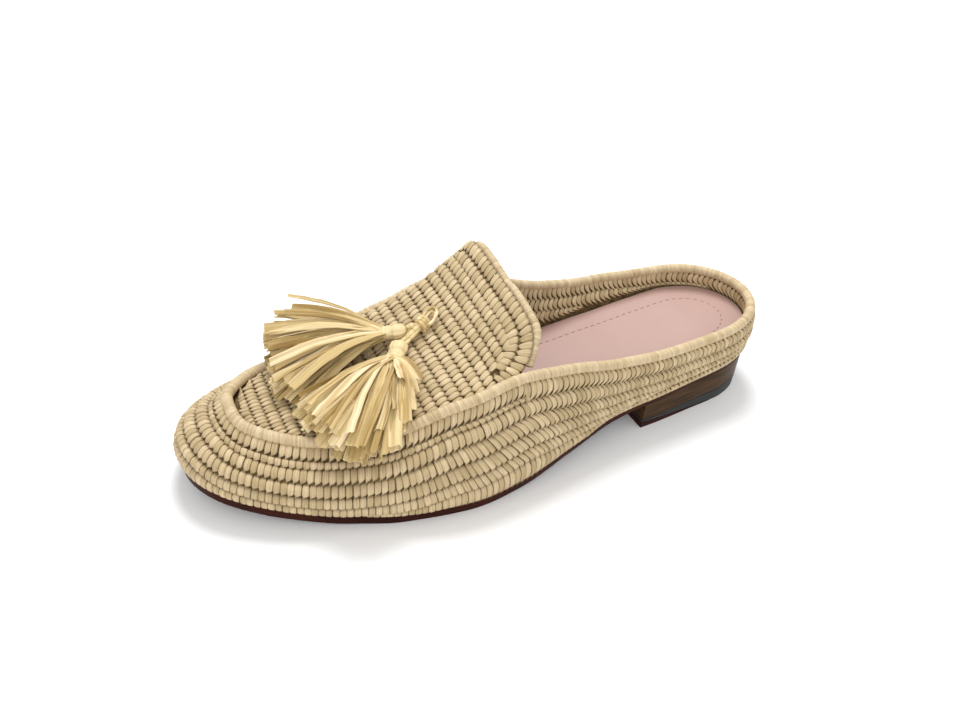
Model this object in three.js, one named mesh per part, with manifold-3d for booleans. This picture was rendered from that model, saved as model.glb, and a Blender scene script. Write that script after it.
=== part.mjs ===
import * as THREE from 'three';
import { mergeVertices } from 'three/addons/utils/BufferGeometryUtils.js';
import Module from 'manifold-3d';

// Raffia mule for the left foot, in millimetres. X runs from the heel to the toe, Y to the
// wearer's left, which is the outer side of this foot, and Z up from the floor.

// Sole
const soleLength = 258;
const ballWidth = 93;
const heelHeight = 20;
const toeSpring = 7.5;
const soleThickness = 4;
const soleChamfer = 0.8;
const heelRound = 0.11;
const toeRound = 0.211;
const toePower = 2.1;

// Upper
const instepHeight = 42;
const toeDepth = 18;
const bellyDepth = 5.5;
const wall = 2.2;
const rowWidth = 6;
const rowRelief = 0.9;
const thinnestRow = 0.5;
const cordRadius = 2.4;

// Apron and its tab
const tabEdge = 128.2;
const tabRise = 20;
const tabRake = 8;
const tabCorner = { outer: 0.73, inner: -0.95 };
const tabCordRadius = 2.2;
const apronRow = 4.9;
const apronRelief = 0.8;

// Footbed and heel
const footbedHeel = 7;
const heelLength = 71.6;
const liftRear = 6.2;
const liftFront = 4.2;
const rubberFront = 0.8;
const rubberFlat = 24;
const leatherStart = 29;

// Tassels
const strandLength = 50;
const strandWidth = 5;
const strandThickness = 1.5;
const headRadius = 2.8;
const knotRadius = 3;
const loopSize = 7;
const tieRadius = 0.9;
const stemRadius = 1.4;
const knotHeight = 3.8;
const headHeight = 5;
const neckHeight = 5.5;

// Clearance between pieces that touch, and how finely the curves are cut
const gap = 0.3;
const stations = 72;
const cordSides = 8;
const stemSides = 6;
const loopPoints = 8;
const loopSteps = 12;
const ballSides = 10;
const ballRings = 6;

// Plan of the sole: half widths as shares of the ball width, and the height of its underside
// as shares of the heel height and of the toe spring
const soleForm = [
  { at: 0.00, outer: 0.292, inner: 0.296, heel: 1.000, toe: 0 },
  { at: 0.06, outer: 0.292, inner: 0.298, heel: 0.900, toe: 0 },
  { at: 0.14, outer: 0.316, inner: 0.314, heel: 0.775, toe: 0 },
  { at: 0.24, outer: 0.355, inner: 0.318, heel: 0.690, toe: 0 },
  { at: 0.34, outer: 0.384, inner: 0.318, heel: 0.525, toe: 0 },
  { at: 0.44, outer: 0.456, inner: 0.342, heel: 0.295, toe: 0 },
  { at: 0.54, outer: 0.528, inner: 0.400, heel: 0.070, toe: 0 },
  { at: 0.62, outer: 0.556, inner: 0.438, heel: 0, toe: 0 },
  { at: 0.73, outer: 0.522, inner: 0.466, heel: 0, toe: 0 },
  { at: 0.80, outer: 0.465, inner: 0.445, heel: 0, toe: 0.09 },
  { at: 0.88, outer: 0.413, inner: 0.408, heel: 0, toe: 0.38 },
  { at: 0.95, outer: 0.388, inner: 0.408, heel: 0, toe: 0.71 },
  { at: 1.00, outer: 0.385, inner: 0.405, heel: 0, toe: 1.00 },
];

// Top edge of the side wall: its rise above the sole as shares of the instep height, how far it
// lies inside the sole's edge as shares of the toe depth, and the wall's belly
const wallForm = [
  { at: 0.00, outerRise: 0.367, innerRise: 0.367,
    outerInset: 0.100, innerInset: 0.100, outerBelly: 0.15, innerBelly: 0.15 },
  { at: 0.06, outerRise: 0.374, innerRise: 0.374,
    outerInset: 0.106, innerInset: 0.017, outerBelly: 0.15, innerBelly: 0.15 },
  { at: 0.14, outerRise: 0.388, innerRise: 0.364,
    outerInset: 0.128, innerInset: -0.128, outerBelly: 0.18, innerBelly: 0.18 },
  { at: 0.24, outerRise: 0.426, innerRise: 0.379,
    outerInset: 0.161, innerInset: -0.272, outerBelly: 0.22, innerBelly: 0.22 },
  { at: 0.34, outerRise: 0.557, innerRise: 0.502,
    outerInset: 0.194, innerInset: -0.278, outerBelly: 0.30, innerBelly: 0.30 },
  { at: 0.44, outerRise: 0.795, innerRise: 0.750,
    outerInset: 0.439, innerInset: -0.222, outerBelly: 0.40, innerBelly: 0.40 },
  { at: 0.54, outerRise: 0.948, innerRise: 0.988,
    outerInset: 0.694, innerInset: -0.028, outerBelly: 0.55, innerBelly: 0.50 },
  { at: 0.64, outerRise: 0.885, innerRise: 0.845,
    outerInset: 0.730, innerInset: 0.320, outerBelly: 0.75, innerBelly: 0.50 },
  { at: 0.72, outerRise: 0.705, innerRise: 0.690,
    outerInset: 0.767, innerInset: 0.495, outerBelly: 0.85, innerBelly: 0.40 },
  { at: 0.80, outerRise: 0.552, innerRise: 0.560,
    outerInset: 0.825, innerInset: 0.606, outerBelly: 0.90, innerBelly: 0.30 },
  { at: 0.88, outerRise: 0.488, innerRise: 0.500,
    outerInset: 0.835, innerInset: 0.670, outerBelly: 0.95, innerBelly: 0.20 },
  { at: 0.95, outerRise: 0.482, innerRise: 0.480,
    outerInset: 0.890, innerInset: 0.880, outerBelly: 0.85, innerBelly: 0.35 },
  { at: 1.00, outerRise: 0.500, innerRise: 0.500,
    outerInset: 1.050, innerInset: 1.050, outerBelly: 0.70, innerBelly: 0.70 },
];
const bellyHeight = 0.55;

// Widths of the coiled rows from the top edge down, as shares of the row width
const rowNames = ['pair', 'second', 'third', 'fourth', 'fifth', 'last'];
const rowForm = [
  { at: 0.00, pair: 0.68, second: 0.70, third: 0.66, fourth: 0.50, fifth: 0.30, last: 0.30 },
  { at: 0.20, pair: 0.66, second: 0.74, third: 0.70, fourth: 0.50, fifth: 0.30, last: 0.30 },
  { at: 0.30, pair: 0.71, second: 0.78, third: 0.68, fourth: 0.60, fifth: 0.40, last: 0.30 },
  { at: 0.38, pair: 0.78, second: 0.94, third: 0.87, fourth: 0.75, fifth: 0.50, last: 0.40 },
  { at: 0.44, pair: 0.83, second: 1.05, third: 0.90, fourth: 0.93, fifth: 0.75, last: 0.58 },
  { at: 0.50, pair: 0.93, second: 0.95, third: 1.06, fourth: 1.00, fifth: 1.00, last: 1.00 },
  { at: 0.60, pair: 1.04, second: 0.95, third: 1.10, fourth: 1.10, fifth: 1.00, last: 1.00 },
  { at: 0.70, pair: 1.18, second: 0.95, third: 0.97, fourth: 0.98, fifth: 0.92, last: 0.60 },
  { at: 0.78, pair: 1.27, second: 0.97, third: 0.82, fourth: 0.75, fifth: 0.73, last: 0.30 },
  { at: 0.90, pair: 1.33, second: 0.84, third: 0.79, fourth: 0.64, fifth: 0.57, last: 0.30 },
  { at: 1.00, pair: 1.10, second: 0.87, third: 0.93, fourth: 0.70, fifth: 0.75, last: 0.30 },
];

// Crown of the apron above the ledge that it is sewn to, as shares of the tab's rise
const crownForm = [
  { at: 0.500, inner: 1.26, outer: 0.83 },
  { at: 0.525, inner: 0.87, outer: 0.50 },
  { at: 0.550, inner: 0.62, outer: 0.30 },
  { at: 0.580, inner: 0.42, outer: 0.20 },
  { at: 0.620, inner: 0.34, outer: 0.15 },
  { at: 0.700, inner: 0.28, outer: 0.13 },
  { at: 0.780, inner: 0.20, outer: 0.12 },
  { at: 0.860, inner: 0.13, outer: 0.11 },
  { at: 0.930, inner: 0.10, outer: 0.10 },
];
const innerShoulder = 8;
const outerShoulder = 3;
const crownColumns = [-1, -0.985, -0.93, -0.75, -0.3, 0.3, 0.75, 0.93, 0.985, 1];

// Thickness of the footbed as shares of its thickness at the heel
const footbedForm = [
  { at: 0.00, depth: 1.00 },
  { at: 0.10, depth: 1.00 },
  { at: 0.17, depth: 0.80 },
  { at: 0.26, depth: 0.48 },
  { at: 0.40, depth: 0.42 },
  { at: 1.00, depth: 0.42 },
];
const footbedDish = 0.8;

// Strands of the tassels: heading from the toe's direction in degrees, and the length and the
// fall from the neck to the tip as shares of the strand length
const innerStrands = [
  { heading: -40, length: 0.96, fall: 0.05 },
  { heading: -32, length: 1.00, fall: 0.10 },
  { heading: -24, length: 1.00, fall: 0.15 },
  { heading: -16, length: 0.97, fall: 0.18 },
  { heading: -8, length: 0.96, fall: 0.20 },
  { heading: 0, length: 0.99, fall: 0.22 },
  { heading: 7, length: 1.01, fall: 0.22 },
  { heading: 14, length: 0.96, fall: 0.22 },
];
const outerStrands = [
  { heading: 14, length: 0.82, fall: 0.18 },
  { heading: 22, length: 0.86, fall: 0.19 },
  { heading: 30, length: 0.88, fall: 0.20 },
  { heading: 38, length: 0.92, fall: 0.20 },
  { heading: 46, length: 0.94, fall: 0.20 },
  { heading: 54, length: 0.95, fall: 0.22 },
  { heading: 62, length: 0.86, fall: 0.20 },
  { heading: 75, length: 0.50, fall: 0.08 },
];

// Where the tassels and the tie lie on the apron: shares of the sole's length, and columns from
// -1 at the inner seam to 1 at the outer seam
const tieForm = {
  knot: { at: 0.620, column: -0.20 },
  innerHead: { at: 0.659, column: -0.23 },
  innerNeck: { at: 0.675, column: -0.29 },
  outerHead: { at: 0.671, column: 0.02 },
  outerNeck: { at: 0.682, column: 0.14 },
};

const wasm = await Module();
wasm.setup();

// A smooth curve through one column of a table, with no overshoot between its rows
function curve(table, column) {
  const at = table.map((row) => row.at);
  const value = table.map((row) => row[column]);
  const last = at.length - 1;
  const chord = at.slice(1).map((next, i) => (value[i + 1] - value[i]) / (next - at[i]));
  const slope = at.map((_, i) => {
    if (i === 0) return chord[0];
    if (i === last) return chord[last - 1];
    const [before, after] = [chord[i - 1], chord[i]];
    return before * after <= 0 ? 0 : (2 * before * after) / (before + after);
  });
  return (share) => {
    const place = THREE.MathUtils.clamp(share, at[0], at[last]);
    let i = 0;
    while (i < last - 1 && place > at[i + 1]) i += 1;
    const span = at[i + 1] - at[i];
    const t = (place - at[i]) / span;
    const rise = t * t * (3 - 2 * t);
    const start = t * (1 - t) * (1 - t) * span * slope[i];
    const end = t * t * (1 - t) * span * slope[i + 1];
    return value[i] + (value[i + 1] - value[i]) * rise + start - end;
  };
}

const halfWidth = { outer: curve(soleForm, 'outer'), inner: curve(soleForm, 'inner') };
const heelLift = curve(soleForm, 'heel');
const toeLift = curve(soleForm, 'toe');
const wallRise = { outer: curve(wallForm, 'outerRise'), inner: curve(wallForm, 'innerRise') };
const wallInset = { outer: curve(wallForm, 'outerInset'), inner: curve(wallForm, 'innerInset') };
const wallBelly = { outer: curve(wallForm, 'outerBelly'), inner: curve(wallForm, 'innerBelly') };
const rowShares = rowNames.map((name) => curve(rowForm, name));
const crown = { outer: curve(crownForm, 'outer'), inner: curve(crownForm, 'inner') };
const footbedDepth = curve(footbedForm, 'depth');

// Height of the sole's underside at a share of its length
function soleUnderside(at) {
  return heelHeight * heelLift(at) + toeSpring * toeLift(at);
}

// Where a turn round the sole lies: 0 is the back of the heel, the first half is the outer side,
// 0.5 the toe, and the second half the inner side
function lengthShare(turn) {
  return (1 - Math.cos(2 * Math.PI * turn)) / 2;
}

function sideOf(turn) {
  return turn - Math.floor(turn) <= 0.5 ? 'outer' : 'inner';
}

function outline(turn) {
  const at = lengthShare(turn);
  const side = sideOf(turn);
  const back = Math.max(0, 1 - at / heelRound);
  const front = Math.max(0, 1 - (1 - at) / toeRound);
  const rounding = Math.sqrt(1 - back ** 2) * (1 - front ** toePower) ** (1 / toePower);
  const width = ballWidth * halfWidth[side](at) * rounding;
  return new THREE.Vector2(soleLength * at, side === 'outer' ? width : -width);
}

function outward(turn) {
  const step = 0.002;
  const along = outline(turn + step).sub(outline(turn - step)).normalize();
  return new THREE.Vector2(-along.y, along.x);
}

// A point of the upper or the sole: so far inside the sole's edge and so high above the sole's top
function place(turn, inset, rise) {
  const at = lengthShare(turn);
  const point = outline(turn).addScaledVector(outward(turn), -inset);
  return new THREE.Vector3(point.x, point.y, soleUnderside(at) + soleThickness + rise);
}

function topRise(turn) {
  return instepHeight * wallRise[sideOf(turn)](lengthShare(turn));
}

function topInset(turn) {
  return toeDepth * wallInset[sideOf(turn)](lengthShare(turn));
}

// Centre of the cord that edges the wall and seams the apron, moved outward by a distance
function seam(turn, out = 0) {
  return place(turn, topInset(turn) - out, topRise(turn));
}

// Side wall's outer face in section, from the sole up to just under the cord
function wallCurve(turn) {
  const belly = bellyDepth * wallBelly[sideOf(turn)](lengthShare(turn));
  const rise = topRise(turn);
  return new THREE.QuadraticBezierCurve(
    new THREE.Vector2(0, gap),
    new THREE.Vector2(-belly, bellyHeight * rise),
    new THREE.Vector2(topInset(turn) - wall / 2, rise - cordRadius - 2 * gap),
  );
}

// Closed body through rings of points. Each ring runs over the top and back underneath, so
// that an end is closed by strips from its first points to its last
function loft(rings, wrap = false) {
  const count = rings[0].length;
  const faces = [];
  const quad = (a, b, c, d) => faces.push(a, b, c, a, c, d);
  const spans = wrap ? rings.length : rings.length - 1;
  for (let i = 0; i < spans; i++) {
    const here = i * count;
    const there = ((i + 1) % rings.length) * count;
    for (let j = 0; j < count; j++) {
      const k = (j + 1) % count;
      quad(here + j, there + j, there + k, here + k);
    }
  }
  if (!wrap) {
    const end = (rings.length - 1) * count;
    for (let j = 0; j < count / 2 - 1; j++) {
      const k = count - 1 - j;
      quad(j, j + 1, k - 1, k);
      quad(end + k, end + k - 1, end + j + 1, end + j);
    }
  }
  const geometry = new THREE.BufferGeometry();
  geometry.setFromPoints(rings.flat());
  geometry.setIndex(faces);
  return solid(geometry);
}

// Volume inside a closed geometry, negative where its faces point in
function signedVolume(geometry) {
  const at = geometry.attributes.position;
  const [a, b, c] = [new THREE.Vector3(), new THREE.Vector3(), new THREE.Vector3()];
  let volume = 0;
  for (let i = 0; i < geometry.index.count; i += 3) {
    a.fromBufferAttribute(at, geometry.index.getX(i));
    b.fromBufferAttribute(at, geometry.index.getX(i + 1));
    c.fromBufferAttribute(at, geometry.index.getX(i + 2));
    volume += a.dot(b.cross(c)) / 6;
  }
  return volume;
}

// A three.js geometry as a solid that can be joined and cut
function solid(source) {
  const geometry = source.clone();
  geometry.deleteAttribute('normal');
  geometry.deleteAttribute('uv');
  const merged = mergeVertices(geometry, 1e-4);
  const triangles = Uint32Array.from(merged.index.array);
  if (signedVolume(merged) < 0) triangles.reverse();
  const mesh = new wasm.Mesh({
    numProp: 3,
    vertProperties: Float32Array.from(merged.attributes.position.array),
    triVerts: triangles,
  });
  return new wasm.Manifold(mesh);
}

function join(solids) {
  return solids.reduce((whole, next) => whole.add(next));
}

const mule = new THREE.Group();

function addPiece(name, body, color, roughness) {
  const { vertProperties, triVerts } = body.getMesh();
  const geometry = new THREE.BufferGeometry();
  geometry.setAttribute('position', new THREE.BufferAttribute(Float32Array.from(vertProperties), 3));
  geometry.setIndex(new THREE.BufferAttribute(Uint32Array.from(triVerts), 1));
  geometry.computeVertexNormals();
  const material = new THREE.MeshStandardMaterial({ color, roughness, metalness: 0 });
  const mesh = new THREE.Mesh(geometry, material);
  mesh.name = name;
  mule.add(mesh);
}

const turns = Array.from({ length: stations }, (_, i) => i / stations);
const sideTurns = turns.slice(0, stations / 2 + 1);

// Side wall: coiled rows outside, smooth inside, closed at the foot and under the cord
function rowEdges(turn, length) {
  const at = lengthShare(turn);
  let drop = 0;
  return rowShares.map((share, i) => {
    drop += rowWidth * share(at);
    const below = rowShares.length - 1 - i;
    return below === 0 ? length : Math.min(drop, length - thinnestRow * below);
  });
}

function wallRing(turn) {
  const section = wallCurve(turn);
  const length = section.getLength();
  const outer = [];
  let top = 0;
  for (const edge of rowEdges(turn, length)) {
    const width = edge - top;
    const relief = Math.min(rowRelief, width / 4);
    for (const [share, raised] of [[0, 0], [0.25, relief], [0.75, relief]]) {
      outer.push([1 - (top + share * width) / length, raised]);
    }
    top = edge;
  }
  outer.push([0, 0]);
  const offset = (share, distance) => {
    const point = section.getPointAt(share);
    const tangent = section.getTangentAt(share);
    return place(turn, point.x - tangent.y * distance, point.y + tangent.x * distance);
  };
  const inner = [0.25, 0.5, 0.75, 1].map((share) => offset(share, -wall));
  const rim = offset(1, 0).z;
  inner.at(-1).z = Math.min(inner.at(-1).z, rim);
  return [
    ...outer.map(([share, raised]) => offset(share, raised)),
    place(turn, wall, gap),
    ...inner,
  ];
}

const sideWall = loft(turns.map(wallRing), true);

// Apron: the seam on each side at a place along the shoe, from the toe back to the heel
function seamTable(side, out) {
  const table = [];
  const steps = 240;
  for (let i = 0; i <= steps; i++) {
    const half = 0.15 + (0.35 * i) / steps;
    const point = seam(side === 'outer' ? half : 1 - half, out);
    table.push({ at: point.x, y: point.y, z: point.z });
  }
  return table;
}

function lookUp(table, x) {
  const last = table.length - 1;
  let i = 0;
  while (i < last - 1 && table[i + 1].at < x) i += 1;
  const t = THREE.MathUtils.clamp((x - table[i].at) / (table[i + 1].at - table[i].at), 0, 1);
  return {
    y: THREE.MathUtils.lerp(table[i].y, table[i + 1].y, t),
    z: THREE.MathUtils.lerp(table[i].z, table[i + 1].z, t),
  };
}

const seamLine = { outer: seamTable('outer', 0), inner: seamTable('inner', 0) };

// Height of the flat sheet that spans the seam
function seamSheet(x, y) {
  const outer = lookUp(seamLine.outer, x);
  const inner = lookUp(seamLine.inner, x);
  const width = Math.max(outer.y - inner.y, 1);
  const t = THREE.MathUtils.clamp((y - inner.y) / width, 0, 1);
  return THREE.MathUtils.lerp(inner.z, outer.z, t);
}

// Crown over that sheet. The column runs from -1 at the inner seam to 1 at the outer seam
function crownHeight(x, column) {
  const at = x / soleLength;
  const mix = (1 + column) / 2;
  const rise = THREE.MathUtils.lerp(crown.inner(at), crown.outer(at), mix);
  const power = column < 0 ? innerShoulder : outerShoulder;
  return tabRise * rise * (1 - Math.min(1, Math.abs(column)) ** power) ** (1 / power);
}

const ledgeDrop = cordRadius + 2.2 * gap;
const bodyInset = cordRadius + gap;

function apronForm(clearance) {
  const edges = {
    outer: seamTable('outer', -bodyInset - clearance),
    inner: seamTable('inner', -bodyInset - clearance),
  };
  const tip = Math.max(edges.outer.at(-1).at, edges.inner.at(-1).at);
  return { edges, tip, clearance };
}

// A point of the apron's top, lowered by the form's clearance and raised by a row's relief
function apronPoint(form, x, column, raised) {
  const share = Math.min(1, Math.abs(column));
  const reach = 8;
  const thinnest = 0.3;
  const side = column < 0 ? 'inner' : 'outer';
  const sign = column < 0 ? -1 : 1;
  const edge = x < form.tip ? Math.abs(lookUp(form.edges[side], x).y) : 0;
  const y = sign * (Math.max(edge, thinnest) * share + (Math.abs(column) > 1 ? reach : 0));
  const rise = x < form.tip ? crownHeight(x, column) : 0;
  const rows = Math.abs(column) < 1 && x < form.tip ? raised : 0;
  const z = seamSheet(x, y) - ledgeDrop - form.clearance + rise + rows;
  return new THREE.Vector3(x, y, z);
}

function apronBody(form, places, columns, depth) {
  const rings = places.map(([x, raised]) => {
    const top = columns.map((column) => apronPoint(form, x, column, raised));
    const bottom = top.map((point) => {
      const z = seamSheet(point.x, point.y) - ledgeDrop - form.clearance - depth;
      return new THREE.Vector3(point.x, point.y, z);
    });
    return [...top, ...bottom.reverse()];
  });
  return loft(rings);
}

const top = apronForm(0);
const inside = apronForm(wall);

// The tab's free edge slopes forward from its corner down to the seam on each side
function edgeAt(side, z) {
  const corner = apronPoint(top, tabEdge, tabCorner[side], 0).z;
  const foot = lookUp(seamLine[side], tabEdge + tabRake).z;
  return tabEdge + tabRake * Math.max(0, (corner - z) / (corner - foot));
}

function rakeCut(side) {
  const corner = apronPoint(top, tabEdge, tabCorner[side], 0).z;
  const foot = lookUp(seamLine[side], tabEdge + tabRake).z - 2 * ledgeDrop;
  const behind = tabEdge - tabRake;
  const far = side === 'outer' ? ballWidth : -ballWidth;
  const section = [[behind, corner], [tabEdge, corner], [edgeAt(side, foot), foot], [behind, foot]];
  return loft([0, far].map((y) => section.map(([x, z]) => new THREE.Vector3(x, y, z))));
}

// Where the apron's rows meet: an even width along the middle of its surface
function apronRows() {
  const step = 0.5;
  const edges = [tabEdge];
  let run = 0;
  for (let x = tabEdge; x + apronRow < top.tip; x += step) {
    run += apronPoint(top, x, 0, 0).distanceTo(apronPoint(top, x + step, 0, 0));
    if (run >= apronRow * edges.length) edges.push(x + step);
  }
  return edges;
}

function apron() {
  const over = [-2, ...crownColumns, 2];
  const edges = apronRows();
  const places = [];
  for (let i = 0; i < edges.length - 1; i++) {
    places.push([edges[i], 0], [(edges[i] + edges[i + 1]) / 2, apronRelief]);
  }
  const left = top.tip - edges.at(-1);
  for (const share of [0, 0.5, 0.85, 0.98]) {
    places.push([top.tip - left * (1 - share), 0]);
  }
  places.push([top.tip, 0], [top.tip + 2 * bodyInset, 0]);
  const plate = apronBody(top, places, over, wall);

  const hollow = [];
  const hollowStart = tabEdge - 2 * wall;
  const hollowSteps = 16;
  for (let i = 0; i <= hollowSteps; i++) {
    const share = Math.sin((Math.PI / 2) * (i / hollowSteps));
    hollow.push([THREE.MathUtils.lerp(hollowStart, inside.tip - 0.1, share), 0]);
  }
  const cavity = apronBody(inside, hollow, crownColumns, 4 * wall);

  const rim = turns.filter((turn) => seam(turn).x > tabEdge - tabRake);
  const low = rim.map((turn) => seam(turn, wall / 2 - 0.1).setZ(0));
  const high = low.map((point) => point.clone().setZ(2 * instepHeight + heelHeight));
  const body = plate.intersect(loft([low, high])).subtract(cavity);
  return body.subtract(rakeCut('outer')).subtract(rakeCut('inner'));
}

addPiece('upper', sideWall.add(apron()), 0xcdb88f, 0.8);

// Wrapped cord round the topline and the apron's seam
function cordRing(turn) {
  const step = 0.002;
  const centre = seam(turn);
  const along = seam(turn + step).sub(seam(turn - step)).normalize();
  const side = new THREE.Vector3(outward(turn).x, outward(turn).y, 0);
  const up = new THREE.Vector3().crossVectors(along, side).normalize();
  side.crossVectors(up, along);
  return Array.from({ length: cordSides }, (_, i) => {
    const angle = (2 * Math.PI * (i + 0.5)) / cordSides;
    return centre.clone()
      .addScaledVector(side, cordRadius * Math.cos(angle))
      .addScaledVector(up, cordRadius * Math.sin(angle));
  });
}

addPiece('edge_cord', loft(turns.map(cordRing), true), 0xd8c59c, 0.75);

// A round cord along a smooth line through points
function tube(points, radius, sides, steps) {
  const circle = new THREE.Shape();
  circle.absarc(0, 0, radius, 0, 2 * Math.PI);
  const path = new THREE.CatmullRomCurve3(points);
  return solid(new THREE.ExtrudeGeometry(circle, {
    steps,
    curveSegments: sides / 2,
    bevelEnabled: false,
    extrudePath: path,
  }));
}

// Wrapped cord on the tab's free edge, which comes down to the cord of the seam on each side
function tabCord() {
  const edge = (angle) => {
    const column = Math.cos(angle);
    const side = column < 0 ? 'inner' : 'outer';
    const point = new THREE.Vector3(tabEdge, 0, 0);
    for (let i = 0; i < 4; i++) {
      point.copy(apronPoint(top, point.x, column, 0));
      point.lerp(apronPoint(inside, point.x, column, 0), 0.5);
      point.x = edgeAt(side, point.z);
    }
    return point;
  };
  const points = [];
  const steps = 72;
  const step = Math.PI / steps;
  for (let i = 1; i < steps; i++) {
    const along = edge((i + 0.5) * step).sub(edge((i - 0.5) * step)).normalize();
    const back = new THREE.Vector3(-1, 0, 0).addScaledVector(along, along.x).normalize();
    const centre = edge(i * step).addScaledVector(back, tabCordRadius + 1.3 * gap);
    const side = centre.y < 0 ? 'inner' : 'outer';
    const beside = lookUp(seamLine[side], centre.x);
    const clear = Math.hypot(centre.y - beside.y, centre.z - beside.z);
    if (clear > cordRadius + tabCordRadius + gap && centre.z > beside.z) points.push(centre);
  }
  return tube(points, tabCordRadius, cordSides, steps / 2);
}

addPiece('tab_cord', tabCord(), 0xd8c59c, 0.75);

// Footbed: a dished pad inside the wall, thick at the heel
function footbedRing(turn) {
  const depth = footbedHeel * footbedDepth(lengthShare(turn));
  const inset = wall + gap;
  const outer = place(turn, inset, gap + depth);
  const inner = place(1 - turn, inset, gap + depth);
  const middle = outer.clone().lerp(inner, 0.5);
  const width = outer.distanceTo(inner);
  middle.z -= footbedDish * Math.min(1, width / ballWidth);
  const outerLow = place(turn, inset, gap);
  const innerLow = place(1 - turn, inset, gap);
  const middleLow = outerLow.clone().lerp(innerLow, 0.5);
  return [outer, middle, inner, innerLow, middleLow, outerLow];
}

// The first and last section of a body that closes to a point at the heel or the toe
const tipTurn = 0.004;
const bodyTurns = sideTurns.map((turn) => THREE.MathUtils.clamp(turn, tipTurn, 0.5 - tipTurn));

addPiece('insole', loft(bodyTurns.map(footbedRing)), 0xd0aca2, 0.55);

// Outsole: a thin sole with its lower edge chamfered
function soleRing(turn) {
  return [
    place(turn, 0, 0),
    place(1 - turn, 0, 0),
    place(1 - turn, 0, soleChamfer - soleThickness),
    place(1 - turn, soleChamfer, -soleThickness),
    place(turn, soleChamfer, -soleThickness),
    place(turn, 0, soleChamfer - soleThickness),
  ];
}

addPiece('outsole', loft(bodyTurns.map(soleRing)), 0x5e2416, 0.4);

// Heel: the block, and the lift under it in rubber at the back and leather at the front
function turnAt(x) {
  return Math.acos(1 - (2 * x) / soleLength) / (2 * Math.PI);
}

function heelSlice(from, to, top, bottom) {
  const ends = [turnAt(from), turnAt(to)];
  const between = sideTurns.filter((turn) => turn > ends[0] + tipTurn && turn < ends[1] - tipTurn);
  const extra = from < rubberFlat && to > rubberFlat ? [turnAt(rubberFlat)] : [];
  const slices = [Math.max(ends[0], tipTurn), ...between, ...extra, ends[1]].sort((a, b) => a - b);
  return loft(slices.map((turn) => {
    const [outer, inner] = [place(turn, 0, 0), place(1 - turn, 0, 0)];
    return [
      outer.clone().setZ(top(outer.x)),
      inner.clone().setZ(top(inner.x)),
      inner.clone().setZ(bottom(inner.x)),
      outer.clone().setZ(bottom(outer.x)),
    ];
  }));
}

const blockTop = (x) => soleUnderside(x / soleLength) - gap;
const blockBottom = (x) => THREE.MathUtils.lerp(liftRear, liftFront, x / heelLength);
const rubberTop = (x) => blockBottom(x) - gap;
const rubberBottom = (x) => {
  const share = Math.max(0, (x - rubberFlat) / (heelLength - rubberFlat));
  return share * (liftFront - gap - rubberFront);
};
const leatherTop = (x) => rubberBottom(x) - gap;

addPiece('heel_block', heelSlice(0, heelLength, blockTop, blockBottom), 0x4a3019, 0.45);
addPiece('heel_lift_rear', heelSlice(0, heelLength, rubberTop, rubberBottom), 0x17191b, 0.6);
addPiece('heel_lift_front', heelSlice(leatherStart, heelLength, leatherTop, () => 0), 0x421610, 0.45);

// Tassels: strands fused to a core, with a bound head
function strand(start, row) {
  const heading = THREE.MathUtils.degToRad(row.heading);
  const length = strandLength * row.length;
  const fall = strandLength * row.fall;
  const run = Math.sqrt(length ** 2 - fall ** 2);
  const ahead = new THREE.Vector3(Math.cos(heading), Math.sin(heading), 0);
  const across = new THREE.Vector3(-ahead.y, ahead.x, 0);
  const steps = 4;
  const rings = [];
  for (let i = 0; i <= steps; i++) {
    const share = i / steps;
    const centre = start.clone().addScaledVector(ahead, run * share);
    centre.z -= fall * share * share;
    const half = strandWidth * (0.25 + 0.25 * share);
    const [left, right] = [1, -1].map((sign) => centre.clone().addScaledVector(across, sign * half));
    const [leftLow, rightLow] = [left, right].map((point) => point.clone());
    leftLow.z -= strandThickness;
    rightLow.z -= strandThickness;
    rings.push([left, right, rightLow, leftLow]);
  }
  return loft(rings);
}

function ball(centre, radius, stretch) {
  const sphere = new THREE.SphereGeometry(radius, ballSides, ballRings);
  sphere.scale(stretch.x, stretch.y, stretch.z);
  sphere.translate(centre.x, centre.y, centre.z);
  return solid(sphere);
}

function tassel(neck, head, strands) {
  const crease = neck.clone().lerp(head, 0.5);
  return join([
    ball(head, headRadius, { x: 1, y: 1, z: 0.85 }),
    ball(crease, headRadius, { x: 0.85, y: 0.85, z: 0.75 }),
    ball(neck, headRadius, { x: 1.6, y: 1.5, z: 0.7 }),
    ...strands.map((row) => strand(neck, row)),
  ]);
}

function onApron({ at, column }, height) {
  const point = apronPoint(top, soleLength * at, column, 0);
  return point.setZ(point.z + height);
}

const knot = onApron(tieForm.knot, knotHeight);
const innerHead = onApron(tieForm.innerHead, headHeight);
const outerHead = onApron(tieForm.outerHead, headHeight);
const innerNeck = onApron(tieForm.innerNeck, neckHeight);
const outerNeck = onApron(tieForm.outerNeck, neckHeight);

addPiece('tassel_inner', tassel(innerNeck, innerHead, innerStrands), 0xe2d0a0, 0.7);
addPiece('tassel_outer', tassel(outerNeck, outerHead, outerStrands), 0xe2d0a0, 0.7);

// Tie: a knot on the apron with a small loop behind it and a stem to each tassel's head
function stem(head) {
  const way = head.clone().sub(knot);
  const reach = way.length() - headRadius - gap;
  const end = knot.clone().addScaledVector(way.normalize(), reach);
  return tube([knot, end], stemRadius, stemSides, 2);
}

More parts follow.
